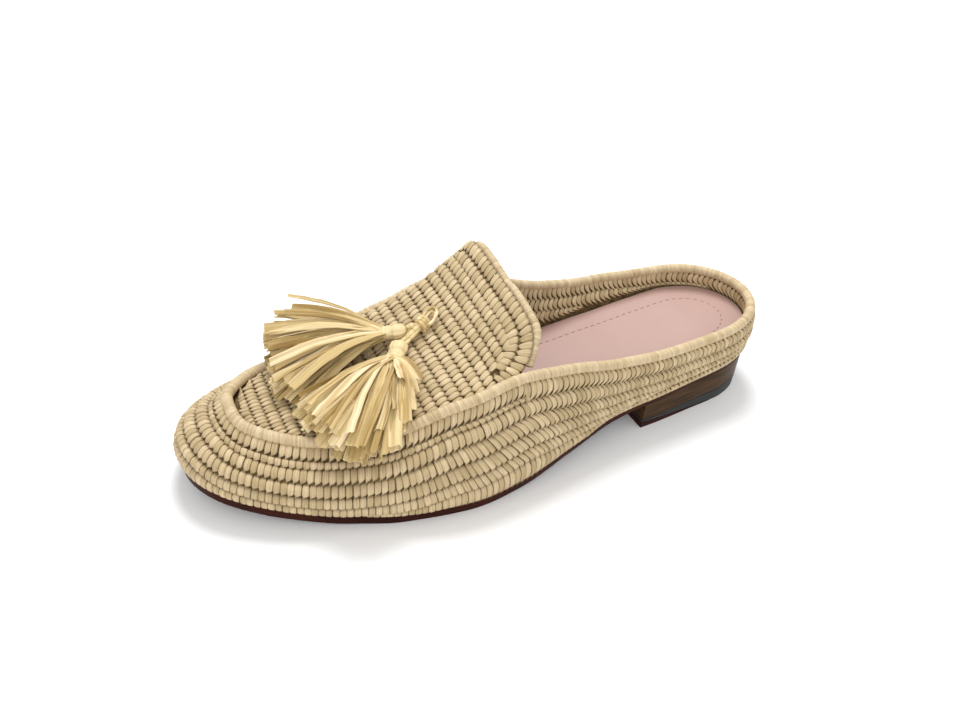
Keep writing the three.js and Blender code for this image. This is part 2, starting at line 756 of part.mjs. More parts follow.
function tie() {
  const circle = Array.from({ length: loopPoints + 1 }, (_, i) => {
    const angle = (2 * Math.PI * i) / loopPoints;
    const out = (loopSize / 2) * (1 - Math.cos(angle));
    const across = (loopSize / 2) * Math.sin(angle) - out / 2;
    return knot.clone().add(new THREE.Vector3(-out, across, out / 2));
  });
  return join([
    ball(knot, knotRadius, { x: 1, y: 1.2, z: 0.8 }),
    tube(circle, tieRadius, stemSides, loopSteps),
    stem(innerHead),
    stem(outerHead),
  ]);
}

addPiece('tassel_tie', tie(), 0xdcca9a, 0.75);

// The origin lies under the middle of the shoe, on the floor
const box = new THREE.Box3().setFromObject(mule);
const middle = box.getCenter(new THREE.Vector3());
mule.position.set(-middle.x, -middle.y, -box.min.z);

export default mule;
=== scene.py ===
import math

import bmesh
import bpy
import numpy as np
from mathutils import Matrix, Vector
from mathutils.bvhtree import BVHTree


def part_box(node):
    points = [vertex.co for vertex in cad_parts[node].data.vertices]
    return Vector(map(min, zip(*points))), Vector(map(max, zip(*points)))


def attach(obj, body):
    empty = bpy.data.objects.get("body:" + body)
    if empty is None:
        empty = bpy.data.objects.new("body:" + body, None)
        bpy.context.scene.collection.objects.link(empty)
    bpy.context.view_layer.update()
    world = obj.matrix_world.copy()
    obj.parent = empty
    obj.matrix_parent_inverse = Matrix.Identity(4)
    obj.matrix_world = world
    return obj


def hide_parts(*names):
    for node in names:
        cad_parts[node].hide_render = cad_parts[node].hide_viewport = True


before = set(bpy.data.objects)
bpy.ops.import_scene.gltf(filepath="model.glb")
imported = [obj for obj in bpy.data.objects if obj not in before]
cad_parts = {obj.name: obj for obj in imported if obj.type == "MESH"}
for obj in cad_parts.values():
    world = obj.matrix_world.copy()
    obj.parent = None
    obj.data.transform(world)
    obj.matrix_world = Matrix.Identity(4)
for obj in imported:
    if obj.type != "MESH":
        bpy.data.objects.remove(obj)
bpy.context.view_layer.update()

random = np.random.default_rng(7)
scene = bpy.context.scene

# Outsole: a thin leather sole, cut to the last's outline, with a rounded and polished edge. It
# rises over the heel, hollows at the waist and springs up at the toe. Sizes are millimetres.
SOLE_LENGTH = 258
BALL_WIDTH = 93
HEEL_HEIGHT = 20
TOE_SPRING = 7.5
SOLE_THICKNESS = 4
HEEL_ROUND = 0.11
TOE_ROUND = 0.211
TOE_POWER = 2.1
GAP = 0.3
SOLE_PLAN = {
    "at": [0, 0.06, 0.14, 0.24, 0.34, 0.44, 0.54, 0.62, 0.73, 0.80, 0.88, 0.95, 1],
    "outer": [0.292, 0.292, 0.316, 0.355, 0.384, 0.456, 0.528, 0.556, 0.522, 0.465, 0.413, 0.388, 0.385],
    "inner": [0.296, 0.298, 0.314, 0.318, 0.318, 0.342, 0.400, 0.438, 0.466, 0.445, 0.408, 0.408, 0.405],
    "heel": [1, 0.9, 0.775, 0.69, 0.525, 0.295, 0.07, 0, 0, 0, 0, 0, 0],
    "toe": [0, 0, 0, 0, 0, 0, 0, 0, 0, 0.09, 0.38, 0.71, 1],
}


def column(table, name, share):
    """A smooth curve through one column of a table, with no overshoot between its rows."""
    at = np.array(table["at"], float)
    value = np.array(table[name], float)
    chord = np.diff(value) / np.diff(at)
    product = chord[:-1] * chord[1:]
    total = np.where(product > 0, chord[:-1] + chord[1:], 1)
    inside = np.where(product > 0, 2 * product / total, 0)
    slope = np.concatenate([chord[:1], inside, chord[-1:]])
    share = np.clip(share, at[0], at[-1])
    i = np.clip(np.searchsorted(at, share, side="right") - 1, 0, len(at) - 2)
    span = at[i + 1] - at[i]
    t = (share - at[i]) / span
    rise = t * t * (3 - 2 * t)
    ends = t * (1 - t) ** 2 * span * slope[i] - t * t * (1 - t) * span * slope[i + 1]
    return value[i] + (value[i + 1] - value[i]) * rise + ends


def sole_underside(share):
    return HEEL_HEIGHT * column(SOLE_PLAN, "heel", share) + TOE_SPRING * column(SOLE_PLAN, "toe", share)


def length_share(turn):
    """A turn round the sole runs from the heel up the outer side to the toe and back."""
    return (1 - np.cos(2 * np.pi * turn)) / 2


def on_outer(turn):
    return np.mod(turn, 1) <= 0.5


def by_side(table, outer, inner, turn):
    share = length_share(turn)
    return np.where(on_outer(turn), column(table, outer, share), column(table, inner, share))


def outline(turn):
    share = length_share(turn)
    back = np.maximum(0, 1 - share / HEEL_ROUND)
    front = np.maximum(0, 1 - (1 - share) / TOE_ROUND)
    rounding = np.sqrt(1 - back**2) * (1 - front**TOE_POWER) ** (1 / TOE_POWER)
    width = BALL_WIDTH * by_side(SOLE_PLAN, "outer", "inner", turn) * rounding
    return np.stack([SOLE_LENGTH * share, np.where(on_outer(turn), width, -width)], -1)


def outward(turn):
    along = outline(turn + 0.002) - outline(turn - 0.002)
    along /= np.linalg.norm(along, axis=-1, keepdims=True)
    return np.stack([-along[..., 1], along[..., 0]], -1)


def place(turn, inset, rise):
    """A point so far inside the sole's edge and so high above the sole's top."""
    point = outline(turn) - outward(turn) * np.asarray(inset)[..., None]
    height = sole_underside(length_share(turn)) + SOLE_THICKNESS + rise
    return np.concatenate([point, np.asarray(height)[..., None]], -1)


# The part's origin is under the middle of the shoe, and the last's is at the back of the heel
sole_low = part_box("outsole")[0]
edge_low = outline(np.linspace(0, 1, 721)).min(0)
LAST_ORIGIN = np.array([sole_low.x * 1000 - edge_low[0], sole_low.y * 1000 - edge_low[1], 0])


def in_frame(points):
    return (np.asarray(points) + LAST_ORIGIN) / 1000


def deselect():
    for thing in bpy.context.selected_objects:
        thing.select_set(False)


def finish_piece(piece, name, material, slot, *nodes):
    piece.name = name
    piece.data.name = name
    piece.data.materials.clear()
    piece.data.materials.append(material)
    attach(piece, "root")
    if nodes:
        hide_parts(*nodes)


def sole_slab(from_turn, to_turn, top, bottom, inset=0, bevel=0.6, dish=0, stations=110):
    """A grid is laid over the sole's plan between two turns, extruded down and rounded off."""
    deselect()
    across = 12
    bpy.ops.mesh.primitive_grid_add(x_subdivisions=stations, y_subdivisions=across, size=1)
    piece = bpy.context.object
    grid = np.array([vertex.co[:] for vertex in piece.data.vertices])
    turn = from_turn + (grid[:, 0] + 0.5) * (to_turn - from_turn)
    outer = place(turn, np.full(turn.shape, inset), 0)
    inner = place(1 - turn, np.full(turn.shape, inset), 0)
    side = grid[:, 1:2] + 0.5
    spot = inner * (1 - side) + outer * side
    hollow = dish * np.clip(np.linalg.norm(outer - inner, axis=1) / BALL_WIDTH, 0, 1)
    spot[:, 2] = top(spot[:, 0]) - hollow * (1 - (2 * side[:, 0] - 1) ** 4)
    piece.data.vertices.foreach_set("co", (spot / 1000).ravel())
    bpy.ops.object.mode_set(mode="EDIT")
    bpy.ops.mesh.select_all(action="SELECT")
    bpy.ops.mesh.extrude_region_move(TRANSFORM_OT_translate={"value": (0, 0, -0.001)})
    bpy.ops.object.mode_set(mode="OBJECT")
    for vertex in piece.data.vertices:
        if vertex.select:
            vertex.co.z = float(bottom(vertex.co.x * 1000)) / 1000
    bpy.ops.object.mode_set(mode="EDIT")
    bpy.ops.mesh.select_all(action="SELECT")
    bpy.ops.mesh.normals_make_consistent(inside=False)
    bpy.ops.object.mode_set(mode="OBJECT")
    rounded = piece.modifiers.new("rounded edge", "BEVEL")
    rounded.width = bevel / 1000
    rounded.segments = 3
    rounded.limit_method = "ANGLE"
    rounded.angle_limit = math.radians(50)
    bpy.ops.object.modifier_apply(modifier=rounded.name)
    piece.data.transform(Matrix.Translation(Vector(LAST_ORIGIN / 1000)))
    bpy.ops.object.shade_smooth_by_angle(angle=math.radians(40))
    return piece


def new_material(name, color, roughness, coat=0.0, coat_roughness=0.1):
    material = bpy.data.materials.new(name)
    material.use_nodes = True
    shader = material.node_tree.nodes["Principled BSDF"]
    shader.inputs["Base Color"].default_value = (*color, 1)
    shader.inputs["Roughness"].default_value = roughness
    shader.inputs["Coat Weight"].default_value = coat
    shader.inputs["Coat Roughness"].default_value = coat_roughness
    return material, material.node_tree, shader


def add_node(tree, kind, **values):
    node = tree.nodes.new(kind)
    for name, value in values.items():
        node.inputs[name.replace("_", " ")].default_value = value
    return node


def object_noise(tree, scale, stretch=(1, 1, 1), detail=4):
    """Noise on the piece's own coordinates, in metres."""
    spot = tree.nodes.new("ShaderNodeTexCoord")
    turned = tree.nodes.new("ShaderNodeMapping")
    turned.inputs["Scale"].default_value = stretch
    noise = add_node(tree, "ShaderNodeTexNoise", Scale=scale, Detail=detail)
    tree.links.new(spot.outputs["Object"], turned.inputs["Vector"])
    tree.links.new(turned.outputs["Vector"], noise.inputs["Vector"])
    return noise


def blend_colors(tree, factor, dark, light, low=0.3, high=0.7):
    ramp = tree.nodes.new("ShaderNodeValToRGB")
    ramp.color_ramp.elements[0].position = low
    ramp.color_ramp.elements[1].position = high
    ramp.color_ramp.elements[0].color = (*dark, 1)
    ramp.color_ramp.elements[1].color = (*light, 1)
    tree.links.new(factor, ramp.inputs["Fac"])
    return ramp


def add_bump(tree, shader, height, distance, strength=1.0):
    bump = add_node(tree, "ShaderNodeBump", Distance=distance, Strength=strength)
    tree.links.new(height, bump.inputs["Height"])
    tree.links.new(bump.outputs["Normal"], shader.inputs["Normal"])
    return bump


def polished_leather(name, dark, light, roughness, layers=0):
    """Smooth dyed leather. Stacked leather shows its layers as fine level lines."""
    stretch = (1, 1, layers) if layers else (1, 1, 1)
    material, tree, shader = new_material(name, dark, roughness, 0.02, 0.2)
    shader.inputs["Specular IOR Level"].default_value = 0.08
    mottle = object_noise(tree, 60, stretch)
    ramp = blend_colors(tree, mottle.outputs["Fac"], dark, light)
    tree.links.new(ramp.outputs["Color"], shader.inputs["Base Color"])
    grain = object_noise(tree, 900, stretch)
    add_bump(tree, shader, grain.outputs["Fac"], 0.0001, 0.5)
    return material


tip = 0.004
outsole = sole_slab(
    tip, 0.5 - tip,
    lambda x: sole_underside(x / SOLE_LENGTH) + SOLE_THICKNESS,
    lambda x: sole_underside(x / SOLE_LENGTH),
    bevel=0.9,
)
sole_leather = polished_leather("red-brown sole leather", (0.022, 0.004, 0.002), (0.05, 0.010, 0.005), 0.45)
finish_piece(outsole, "outsole_leather", sole_leather, "sole_leather", "outsole")

# Heel: a block of stacked leather, cut square at the breast, glued and nailed under the sole.
# Its bottom lift is rubber at the back, where it wears, and a leather wedge in front.
HEEL_LENGTH = 71.6
LIFT_REAR = 6.2
LIFT_FRONT = 4.2
RUBBER_FRONT = 0.8
RUBBER_FLAT = 24
LEATHER_START = 29


def turn_at(x):
    return math.acos(1 - 2 * x / SOLE_LENGTH) / (2 * math.pi)


def block_bottom(x):
    return LIFT_REAR + (LIFT_FRONT - LIFT_REAR) * x / HEEL_LENGTH


def rubber_bottom(x):
    share = np.maximum(0, (x - RUBBER_FLAT) / (HEEL_LENGTH - RUBBER_FLAT))
    return share * (LIFT_FRONT - GAP - RUBBER_FRONT)


heel_block = sole_slab(
    tip, turn_at(HEEL_LENGTH),
    lambda x: sole_underside(x / SOLE_LENGTH) - GAP, block_bottom, bevel=0.35,
)
stacked_leather = polished_leather("stacked heel leather", (0.030, 0.014, 0.005), (0.085, 0.043, 0.016), 0.4, 14)
finish_piece(heel_block, "heel_stack", stacked_leather, "heel_leather", "heel_block")

rubber_lift = sole_slab(
    tip, turn_at(HEEL_LENGTH),
    lambda x: block_bottom(x) - GAP, rubber_bottom, bevel=0.3,
)
heel_rubber, rubber_tree, rubber_shader = new_material("black heel rubber", (0.012, 0.013, 0.014), 0.55)
rubber_grain = object_noise(rubber_tree, 1500)
add_bump(rubber_tree, rubber_shader, rubber_grain.outputs["Fac"], 0.0001, 0.4)
finish_piece(rubber_lift, "heel_rubber_lift", heel_rubber, "heel_rubber", "heel_lift_rear")

leather_lift = sole_slab(
    turn_at(LEATHER_START), turn_at(HEEL_LENGTH),
    lambda x: rubber_bottom(x) - GAP, lambda x: 0 * x, bevel=0.15,
)
finish_piece(leather_lift, "heel_leather_lift", sole_leather, "sole_leather", "heel_lift_front")

# Footbed: a pad covered in smooth dusty pink leather, thicker under the heel. A line of short
# stitches runs inside its edge. It drops in over the sole, inside the raffia wall.
WALL = 2.2
FOOTBED_HEEL = 7
FOOTBED_DISH = 0.8
FOOTBED = {
    "at": [0, 0.10, 0.17, 0.26, 0.40, 1],
    "depth": [1, 1, 0.8, 0.48, 0.42, 0.42],
}


def footbed_top(x):
    share = x / SOLE_LENGTH
    return sole_underside(share) + SOLE_THICKNESS + GAP + FOOTBED_HEEL * column(FOOTBED, "depth", share)


footbed = sole_slab(
    tip, 0.5 - tip, footbed_top,
    lambda x: sole_underside(x / SOLE_LENGTH) + SOLE_THICKNESS + GAP,
    inset=WALL + GAP, bevel=1.2, dish=FOOTBED_DISH,
)
footbed_leather, tree, shader = new_material("dusty pink footbed leather", (0.42, 0.265, 0.225), 0.5)
mottle = object_noise(tree, 22)
ramp = blend_colors(tree, mottle.outputs["Fac"], (0.405, 0.25, 0.213), (0.44, 0.28, 0.24))
tree.links.new(ramp.outputs["Color"], shader.inputs["Base Color"])
grain = object_noise(tree, 1400)
add_bump(tree, shader, grain.outputs["Fac"], 0.00006, 0.5)
finish_piece(footbed, "footbed", footbed_leather, "footbed_leather", "insole")


def joined_mesh(name, points, faces, uv=None, tone=None, scale_and_place=True):
    """One mesh from many copies: points is copies x vertices x 3, faces is one copy's faces."""
    copies, count = points.shape[:2]
    steps = (np.arange(copies) * count)[:, None]
    flat = [(np.array(face)[None, :] + steps).tolist() for face in faces]
    every = [corner for group in flat for corner in group]
    where = in_frame(points) if scale_and_place else points / 1000
    mesh = bpy.data.meshes.new(name)
    mesh.from_pydata(where.reshape(-1, 3).tolist(), [], every)
    if uv is not None:
        corner = np.empty(len(mesh.loops), np.int64)
        mesh.loops.foreach_get("vertex_index", corner)
        layer = mesh.uv_layers.new(name="strip")
        layer.data.foreach_set("uv", uv.reshape(-1, 2)[corner].ravel().astype(np.float32))
    if tone is not None:
        layer = mesh.attributes.new("tone", "FLOAT", "POINT")
        layer.data.foreach_set("value", np.repeat(tone, count).astype(np.float32))
    mesh.validate()
    shell = bmesh.new()
    shell.from_mesh(mesh)
    bmesh.ops.recalc_face_normals(shell, faces=shell.faces)
    shell.to_mesh(mesh)
    shell.free()
    piece = bpy.data.objects.new(name, mesh)
    scene.collection.objects.link(piece)
    mesh.shade_smooth()
    return piece


def strip_faces(stations, sides):
    """Faces of a closed strip: rings of the same number of sides, and an end on each side."""
    faces = []
    for i in range(stations - 1):
        for j in range(sides):
            k = (j + 1) % sides
            faces.append((i * sides + j, i * sides + k, (i + 1) * sides + k, (i + 1) * sides + j))
    faces.append(tuple(reversed(range(sides))))
    faces.append(tuple(range((stations - 1) * sides, stations * sides)))
    return faces


def along_path(path, pitch):
    """Even shares along a path of points, about one for each pitch."""
    step = np.linalg.norm(np.diff(path, axis=0), axis=1)
    run = np.concatenate([[0], np.cumsum(step)])
    count = max(2, int(round(run[-1] / pitch)))
    return run, (np.arange(count) + 0.5) * run[-1] / count


STITCH_INSET = 10
STITCH_PITCH = 3.4
STITCH_LENGTH = 2.3
STITCH_THICK = 0.35


def footbed_stitches():
    turns = np.concatenate([np.linspace(0.70, 1, 200), np.linspace(0, 0.30, 200)])
    inset = np.full(turns.shape, WALL + GAP + STITCH_INSET)
    path = place(turns, inset, 0)
    path[:, 2] = footbed_top(path[:, 0]) - 0.55
    run, spots = along_path(path, STITCH_PITCH)
    ends = [-0.5, -0.3, 0.3, 0.5]
    sizes = [0.4, 1, 1, 0.4]
    points = np.empty((len(spots), 4, 6, 3))
    for i, (end, size) in enumerate(zip(ends, sizes)):
        centre = np.stack([np.interp(spots + end * STITCH_LENGTH, run, path[:, k]) for k in range(3)], -1)
        after = np.stack([np.interp(spots + end * STITCH_LENGTH + 0.5, run, path[:, k]) for k in range(3)], -1)
        along = after - centre
        along /= np.linalg.norm(along, axis=1, keepdims=True) + 1e-9
        side = np.stack([-along[:, 1], along[:, 0], np.zeros(len(spots))], -1)
        for j in range(6):
            angle = 2 * np.pi * j / 6
            half = STITCH_THICK * size
            lift = np.array([0, 0, half * np.sin(angle) * 0.6 + 0.05])
            points[:, i, j] = centre + side * half * np.cos(angle) + lift
    return joined_mesh("footbed_stitches", points.reshape(len(spots), 24, 3), strip_faces(4, 6))


stitch_thread, tree, shader = new_material("brown-pink thread", (0.24, 0.12, 0.10), 0.7)
thread_noise = object_noise(tree, 2500)
add_bump(tree, shader, thread_noise.outputs["Fac"], 0.0001, 0.5)
finish_piece(footbed_stitches(), "footbed_stitching", stitch_thread, "footbed_leather")

# Side wall: raffia strips wrapped over coiled rows and caught into the row below, so that each
# row shows as a band of short upright stitches with small holes along its lower edge.
INSTEP_HEIGHT = 42
TOE_DEPTH = 18
BELLY_DEPTH = 5.5
BELLY_HEIGHT = 0.55
CORD_RADIUS = 2.4
ROW_WIDTH = 6
ROW_RELIEF = 0.9
THINNEST_ROW = 0.5
WALL_FORM = {
    "at": [0, 0.06, 0.14, 0.24, 0.34, 0.44, 0.54, 0.64, 0.72, 0.80, 0.88, 0.95, 1],
    "outer_rise": [0.367, 0.374, 0.388, 0.426, 0.557, 0.795, 0.948, 0.885, 0.705, 0.552, 0.488, 0.482, 0.500],
    "inner_rise": [0.367, 0.374, 0.364, 0.379, 0.502, 0.750, 0.988, 0.845, 0.690, 0.560, 0.500, 0.480, 0.500],
    "outer_inset": [0.100, 0.106, 0.128, 0.161, 0.194, 0.439, 0.694, 0.730, 0.767, 0.825, 0.835, 0.890, 1.050],
    "inner_inset": [0.100, 0.017, -0.128, -0.272, -0.278, -0.222, -0.028, 0.320, 0.495, 0.606, 0.670, 0.880, 1.050],
    "outer_belly": [0.15, 0.15, 0.18, 0.22, 0.30, 0.40, 0.55, 0.75, 0.85, 0.90, 0.95, 0.85, 0.70],
    "inner_belly": [0.15, 0.15, 0.18, 0.22, 0.30, 0.40, 0.50, 0.50, 0.40, 0.30, 0.20, 0.35, 0.70],
}
WALL_ROWS = {
    "at": [0, 0.20, 0.30, 0.38, 0.44, 0.50, 0.60, 0.70, 0.78, 0.90, 1],
    "pair": [0.68, 0.66, 0.71, 0.78, 0.83, 0.93, 1.04, 1.18, 1.27, 1.33, 1.10],
    "second": [0.70, 0.74, 0.78, 0.94, 1.05, 0.95, 0.95, 0.95, 0.97, 0.84, 0.87],
    "third": [0.66, 0.70, 0.68, 0.87, 0.90, 1.06, 1.10, 0.97, 0.82, 0.79, 0.93],
    "fourth": [0.50, 0.50, 0.60, 0.75, 0.93, 1.00, 1.10, 0.98, 0.75, 0.64, 0.70],
    "fifth": [0.30, 0.30, 0.40, 0.50, 0.75, 1.00, 1.00, 0.92, 0.73, 0.57, 0.75],
    "last": [0.30, 0.30, 0.30, 0.40, 0.58, 1.00, 1.00, 0.60, 0.30, 0.30, 0.30],
}
ROW_NAMES = ["pair", "second", "third", "fourth", "fifth", "last"]
PAIR_SPLIT = 0.62
PAIR_FROM = 0.52
TUCK = 1.6
SOLE_LAP = {"at": [0, 0.26, 0.40, 1], "lap": [2.0, 2.0, 0.3, 0.2]}
WALL_TURNS = 1440
WALL_STEPS = 32


def top_rise(turn):
    return INSTEP_HEIGHT * by_side(WALL_FORM, "outer_rise", "inner_rise", turn)


def top_inset(turn):
    return TOE_DEPTH * by_side(WALL_FORM, "outer_inset", "inner_inset", turn)


def seam(turn, out=0.0):
    return place(turn, top_inset(turn) - out, top_rise(turn))


def wall_surface(offset=0.0):
    """Grid of points, normals and section lengths, from under the cord down to the sole."""
    turn = np.arange(WALL_TURNS + 1) / WALL_TURNS
    rise = top_rise(turn)
    belly = BELLY_DEPTH * by_side(WALL_FORM, "outer_belly", "inner_belly", turn)
    p0 = np.stack([np.zeros_like(turn), np.full_like(turn, GAP)], -1)
    p1 = np.stack([-belly, BELLY_HEIGHT * rise], -1)
    p2 = np.stack([top_inset(turn) - WALL / 2, rise - CORD_RADIUS - 2 * GAP], -1)
    t = np.linspace(1, 0, WALL_STEPS + 1)[:, None, None]
    section = (1 - t) ** 2 * p0 + 2 * t * (1 - t) * p1 + t**2 * p2
    tangent = 2 * (1 - t) * (p1 - p0) + 2 * t * (p2 - p1)
    tangent /= np.linalg.norm(tangent, axis=-1, keepdims=True)
    length = np.linalg.norm(np.diff(section, axis=0), axis=-1)
    run = np.concatenate([np.zeros((1, len(turn))), np.cumsum(length, 0)])
    inset = section[..., 0] - tangent[..., 1] * offset
    height = section[..., 1] + tangent[..., 0] * offset
    points = np.stack([place(turn, inset[i], height[i]) for i in range(WALL_STEPS + 1)])
    out = outward(turn)
    normal = np.concatenate([out * tangent[..., 1:2], tangent[..., 0:1]], -1)
    return {"points": points, "normal": normal, "run": run, "turn": turn}


def on_wall(surface, turn, drop):
    """Points and normals at a turn, so far down the wall from under the cord."""
    spot = np.mod(turn, 1) * WALL_TURNS
    i = np.clip(spot.astype(int), 0, WALL_TURNS - 1)
    mix = (spot - i)[:, None]
    point = normal = 0
    for line, weight in ((i, 1 - mix), (i + 1, mix)):
        run = surface["run"][:, line]
        level = np.clip(drop, 0, run[-1])
        j = np.clip((run <= level).sum(0) - 1, 0, WALL_STEPS - 1)
        near = np.take_along_axis(run, j[None], 0)[0]
        far = np.take_along_axis(run, j[None] + 1, 0)[0]
        t = ((level - near) / np.maximum(far - near, 1e-6))[:, None]
        upper, lower = surface["points"][j, line], surface["points"][j + 1, line]
        point = point + weight * (upper * (1 - t) + lower * t)
        upper, lower = surface["normal"][j, line], surface["normal"][j + 1, line]
        normal = normal + weight * (upper * (1 - t) + lower * t)
    total = np.interp(np.mod(turn, 1), surface["turn"], surface["run"][-1])
    point[:, 2] += np.clip(-drop, 0, None) - np.clip(drop - total, 0, None)
    return point, normal


def row_edges(surface, turns):
    """How far down the wall each row begins; the first one is tucked under the cord."""
    share = length_share(turns)
    total = np.interp(np.mod(turns, 1), surface["turn"], surface["run"][-1])
    edges = [np.full(turns.shape, -TUCK)]
    drop = 0
    for i, name in enumerate(ROW_NAMES):
        drop = drop + ROW_WIDTH * column(WALL_ROWS, name, share)
        edges.append(np.minimum(drop, total - THINNEST_ROW * (len(ROW_NAMES) - 1 - i)))
    edges[-1] = total
    return edges


# One stitch from the top of its row to the bottom. It fills the row side by side with the next,
# then narrows to a thin tail that hooks sideways and leaves a small hole beside it. Round the
# heel the strips lie looser, as curved leaves with long tails.
ROW_STITCH = {
    "across": np.array([-0.10, 0.05, 0.22, 0.48, 0.70, 0.82, 0.93, 1.12]),
    "half": np.array([0.40, 0.49, 0.51, 0.51, 0.50, 0.36, 0.16, 0.14]),
    "height": np.array([0.00, 0.60, 0.92, 1.00, 0.90, 0.66, 0.42, 0.10]),
    "tail": np.array([0, 0, 0, 0, 0, 0.10, 0.45, 1]),
}
HEEL_STITCH = {
    "across": np.array([-0.12, 0.05, 0.25, 0.50, 0.74, 0.92, 1.10, 1.28]),
    "half": np.array([0.22, 0.40, 0.50, 0.51, 0.42, 0.28, 0.18, 0.12]),
    "height": np.array([0.00, 0.60, 0.95, 1.00, 0.88, 0.70, 0.48, 0.12]),
    "tail": np.array([0, 0, 0, 0, 0.10, 0.38, 0.75, 1.10]),
}
STITCH_EDGE = np.array([[-1, -1.0], [-0.70, -0.16], [0, 0.10], [0.70, -0.16], [1, -1.0]])
STITCH_DEPTH = 0.5
STITCH_THICKNESS = 0.8
SHORTEST_STITCH = 1.2


def stitched_row(
    edge, far_edge, normal, pitch, shapes,
    mix=0, lean=0, hook=0.55, bow=0, relief=0, part=(0, 1), thickness=STITCH_THICKNESS, closed=False,
):
    """Stitches laid side by side between the two edges of a row: stitches x vertices x 3."""
    run, spots = along_path((edge + far_edge) / 2, pitch)
    spacing = run[-1] / len(spots)
    wide = np.interp(spots, run, np.linalg.norm(far_edge - edge, axis=1))
    spots = spots[wide > SHORTEST_STITCH]
    wide = wide[wide > SHORTEST_STITCH]
    count = len(spots)
    mix, lean, hook, bow, relief = (
        np.interp(spots, run, value + 0 * run)[:, None] for value in (mix, lean, hook, bow, relief)
    )
    across, half, height, tail = (
        shapes[0][key] * (1 - mix) + shapes[-1][key] * mix for key in ("across", "half", "height", "tail")
    )
    fat = random.uniform(0.97, 1.05, count)[:, None]
    shift = random.normal(0, 0.03, count)[:, None] + hook * tail - bow * np.sin(np.pi * np.clip(across, 0, 1))
    shift = shift * spacing - lean * (across - 0.45) * wide[:, None]
    along = (spots[:, None] + shift)[..., None] + (half * spacing * fat)[..., None] * STITCH_EDGE[:, 0]
    along = np.mod(along, run[-1]) if closed else along
    thick = thickness * np.clip(wide / 4, 0.5, 1) * random.uniform(0.88, 1.12, count)
    hump = np.interp(part[0] + across * (part[1] - part[0]), [0, 0.25, 0.75, 1], [0, 1, 1, 0])
    base = relief * np.clip(wide / 3.6, 0, 1)[:, None] * hump
    out = (base + thick[:, None] * height)[..., None]
    out = out + thick[:, None, None] * STITCH_DEPTH * STITCH_EDGE[:, 1] + 0.05
    first, last, away = (
        np.stack([np.interp(along, run, line[:, k]) for k in range(3)], -1)
        for line in (edge, far_edge, normal)
    )
    points = first + (last - first) * across[..., None, None] + away * out[..., None]
    return points.reshape(count, -1, 3)


def stitch_mesh(name, rows, shape):
    """Every stitch of a piece as one mesh, its own tone and its strip's length and width in it."""
    points = np.concatenate(rows)
    stations, sides = len(shape["across"]), len(STITCH_EDGE)
    length = (shape["across"][:, None] - shape["across"][0]) / np.ptp(shape["across"])
    uv = np.stack([0.5 + 0.5 * STITCH_EDGE[:, 0] + 0 * length, length + 0 * STITCH_EDGE[:, 0]], -1)
    uv = np.broadcast_to(uv.reshape(-1, 2), (len(points), stations * sides, 2))
    return joined_mesh(name, points, strip_faces(stations, sides), uv, random.uniform(0, 1, len(points)))


LEAN = {
    "at": [0, 0.20, 0.30, 0.44, 0.55, 0.62, 0.70, 0.76, 1],
    "pair": [0, 0, 0, -0.10, -0.35, -0.30, -0.10, 0, 0],
    "second": [0, 0, 0.05, 0.12, 0.12, 0.10, 0.05, 0, 0],
    "lower": [0, 0.05, 0.25, 0.55, 0.70, 0.50, 0.20, 0, 0],
}
WALL_PITCH = 2.55
HEEL_CURL = {"at": [0.36, 0.50, 0.62], "mix": [1, 0.5, 0], "hook": [0.9, 0.75, 0.55], "bow": [0.30, 0.15, 0]}


def wall_row(surface, turns, top, bottom, side=1, lean="lower", relief=ROW_RELIEF, part=(0, 1)):
    edge = on_wall(surface, turns, top)[0]
    far_edge = on_wall(surface, turns, bottom)[0]
    normal = on_wall(surface, turns, (top + bottom) / 2)[1]
    share = length_share(turns)
    slope = np.interp(share, LEAN["at"], LEAN[lean])
    mix, hook, bow = (np.interp(share, HEEL_CURL["at"], HEEL_CURL[key]) for key in ("mix", "hook", "bow"))
    return stitched_row(
        edge, far_edge, side * normal, WALL_PITCH, (ROW_STITCH, HEEL_STITCH),
        mix, slope, hook, bow, relief, part, closed=np.ptp(turns) == 1,
    )


def outer_rows(surface):
    """The coil's rows; ahead of the tab the top one is worked as two narrow rows."""
    split = math.acos(1 - 2 * PAIR_FROM) / (2 * math.pi)
    behind = np.linspace(-split - 0.003, split + 0.003, 1200)
    ahead = np.linspace(split, 1 - split, 1200)
    around = np.linspace(0, 1, 2400)
    edges = row_edges(surface, behind)
    rows = [wall_row(surface, behind, edges[0], edges[1], lean="pair")]
    edges = row_edges(surface, ahead)
    middle = PAIR_SPLIT * edges[1]
    rows.append(wall_row(surface, ahead, edges[0], middle, lean="pair", part=(0.1, PAIR_SPLIT)))
    rows.append(wall_row(surface, ahead, middle, edges[1], part=(PAIR_SPLIT, 1)))
    edges = row_edges(surface, around)
    overlap = np.interp(length_share(around), SOLE_LAP["at"], SOLE_LAP["lap"])
    for i, name in enumerate(ROW_NAMES[1:], 1):
        lean = "lower" if name in ("third", "fourth", "fifth") else "second"
        lap = overlap if name == "last" else 0
        rows.append(wall_row(surface, around, edges[i], edges[i + 1] + lap, lean=lean))
    return rows


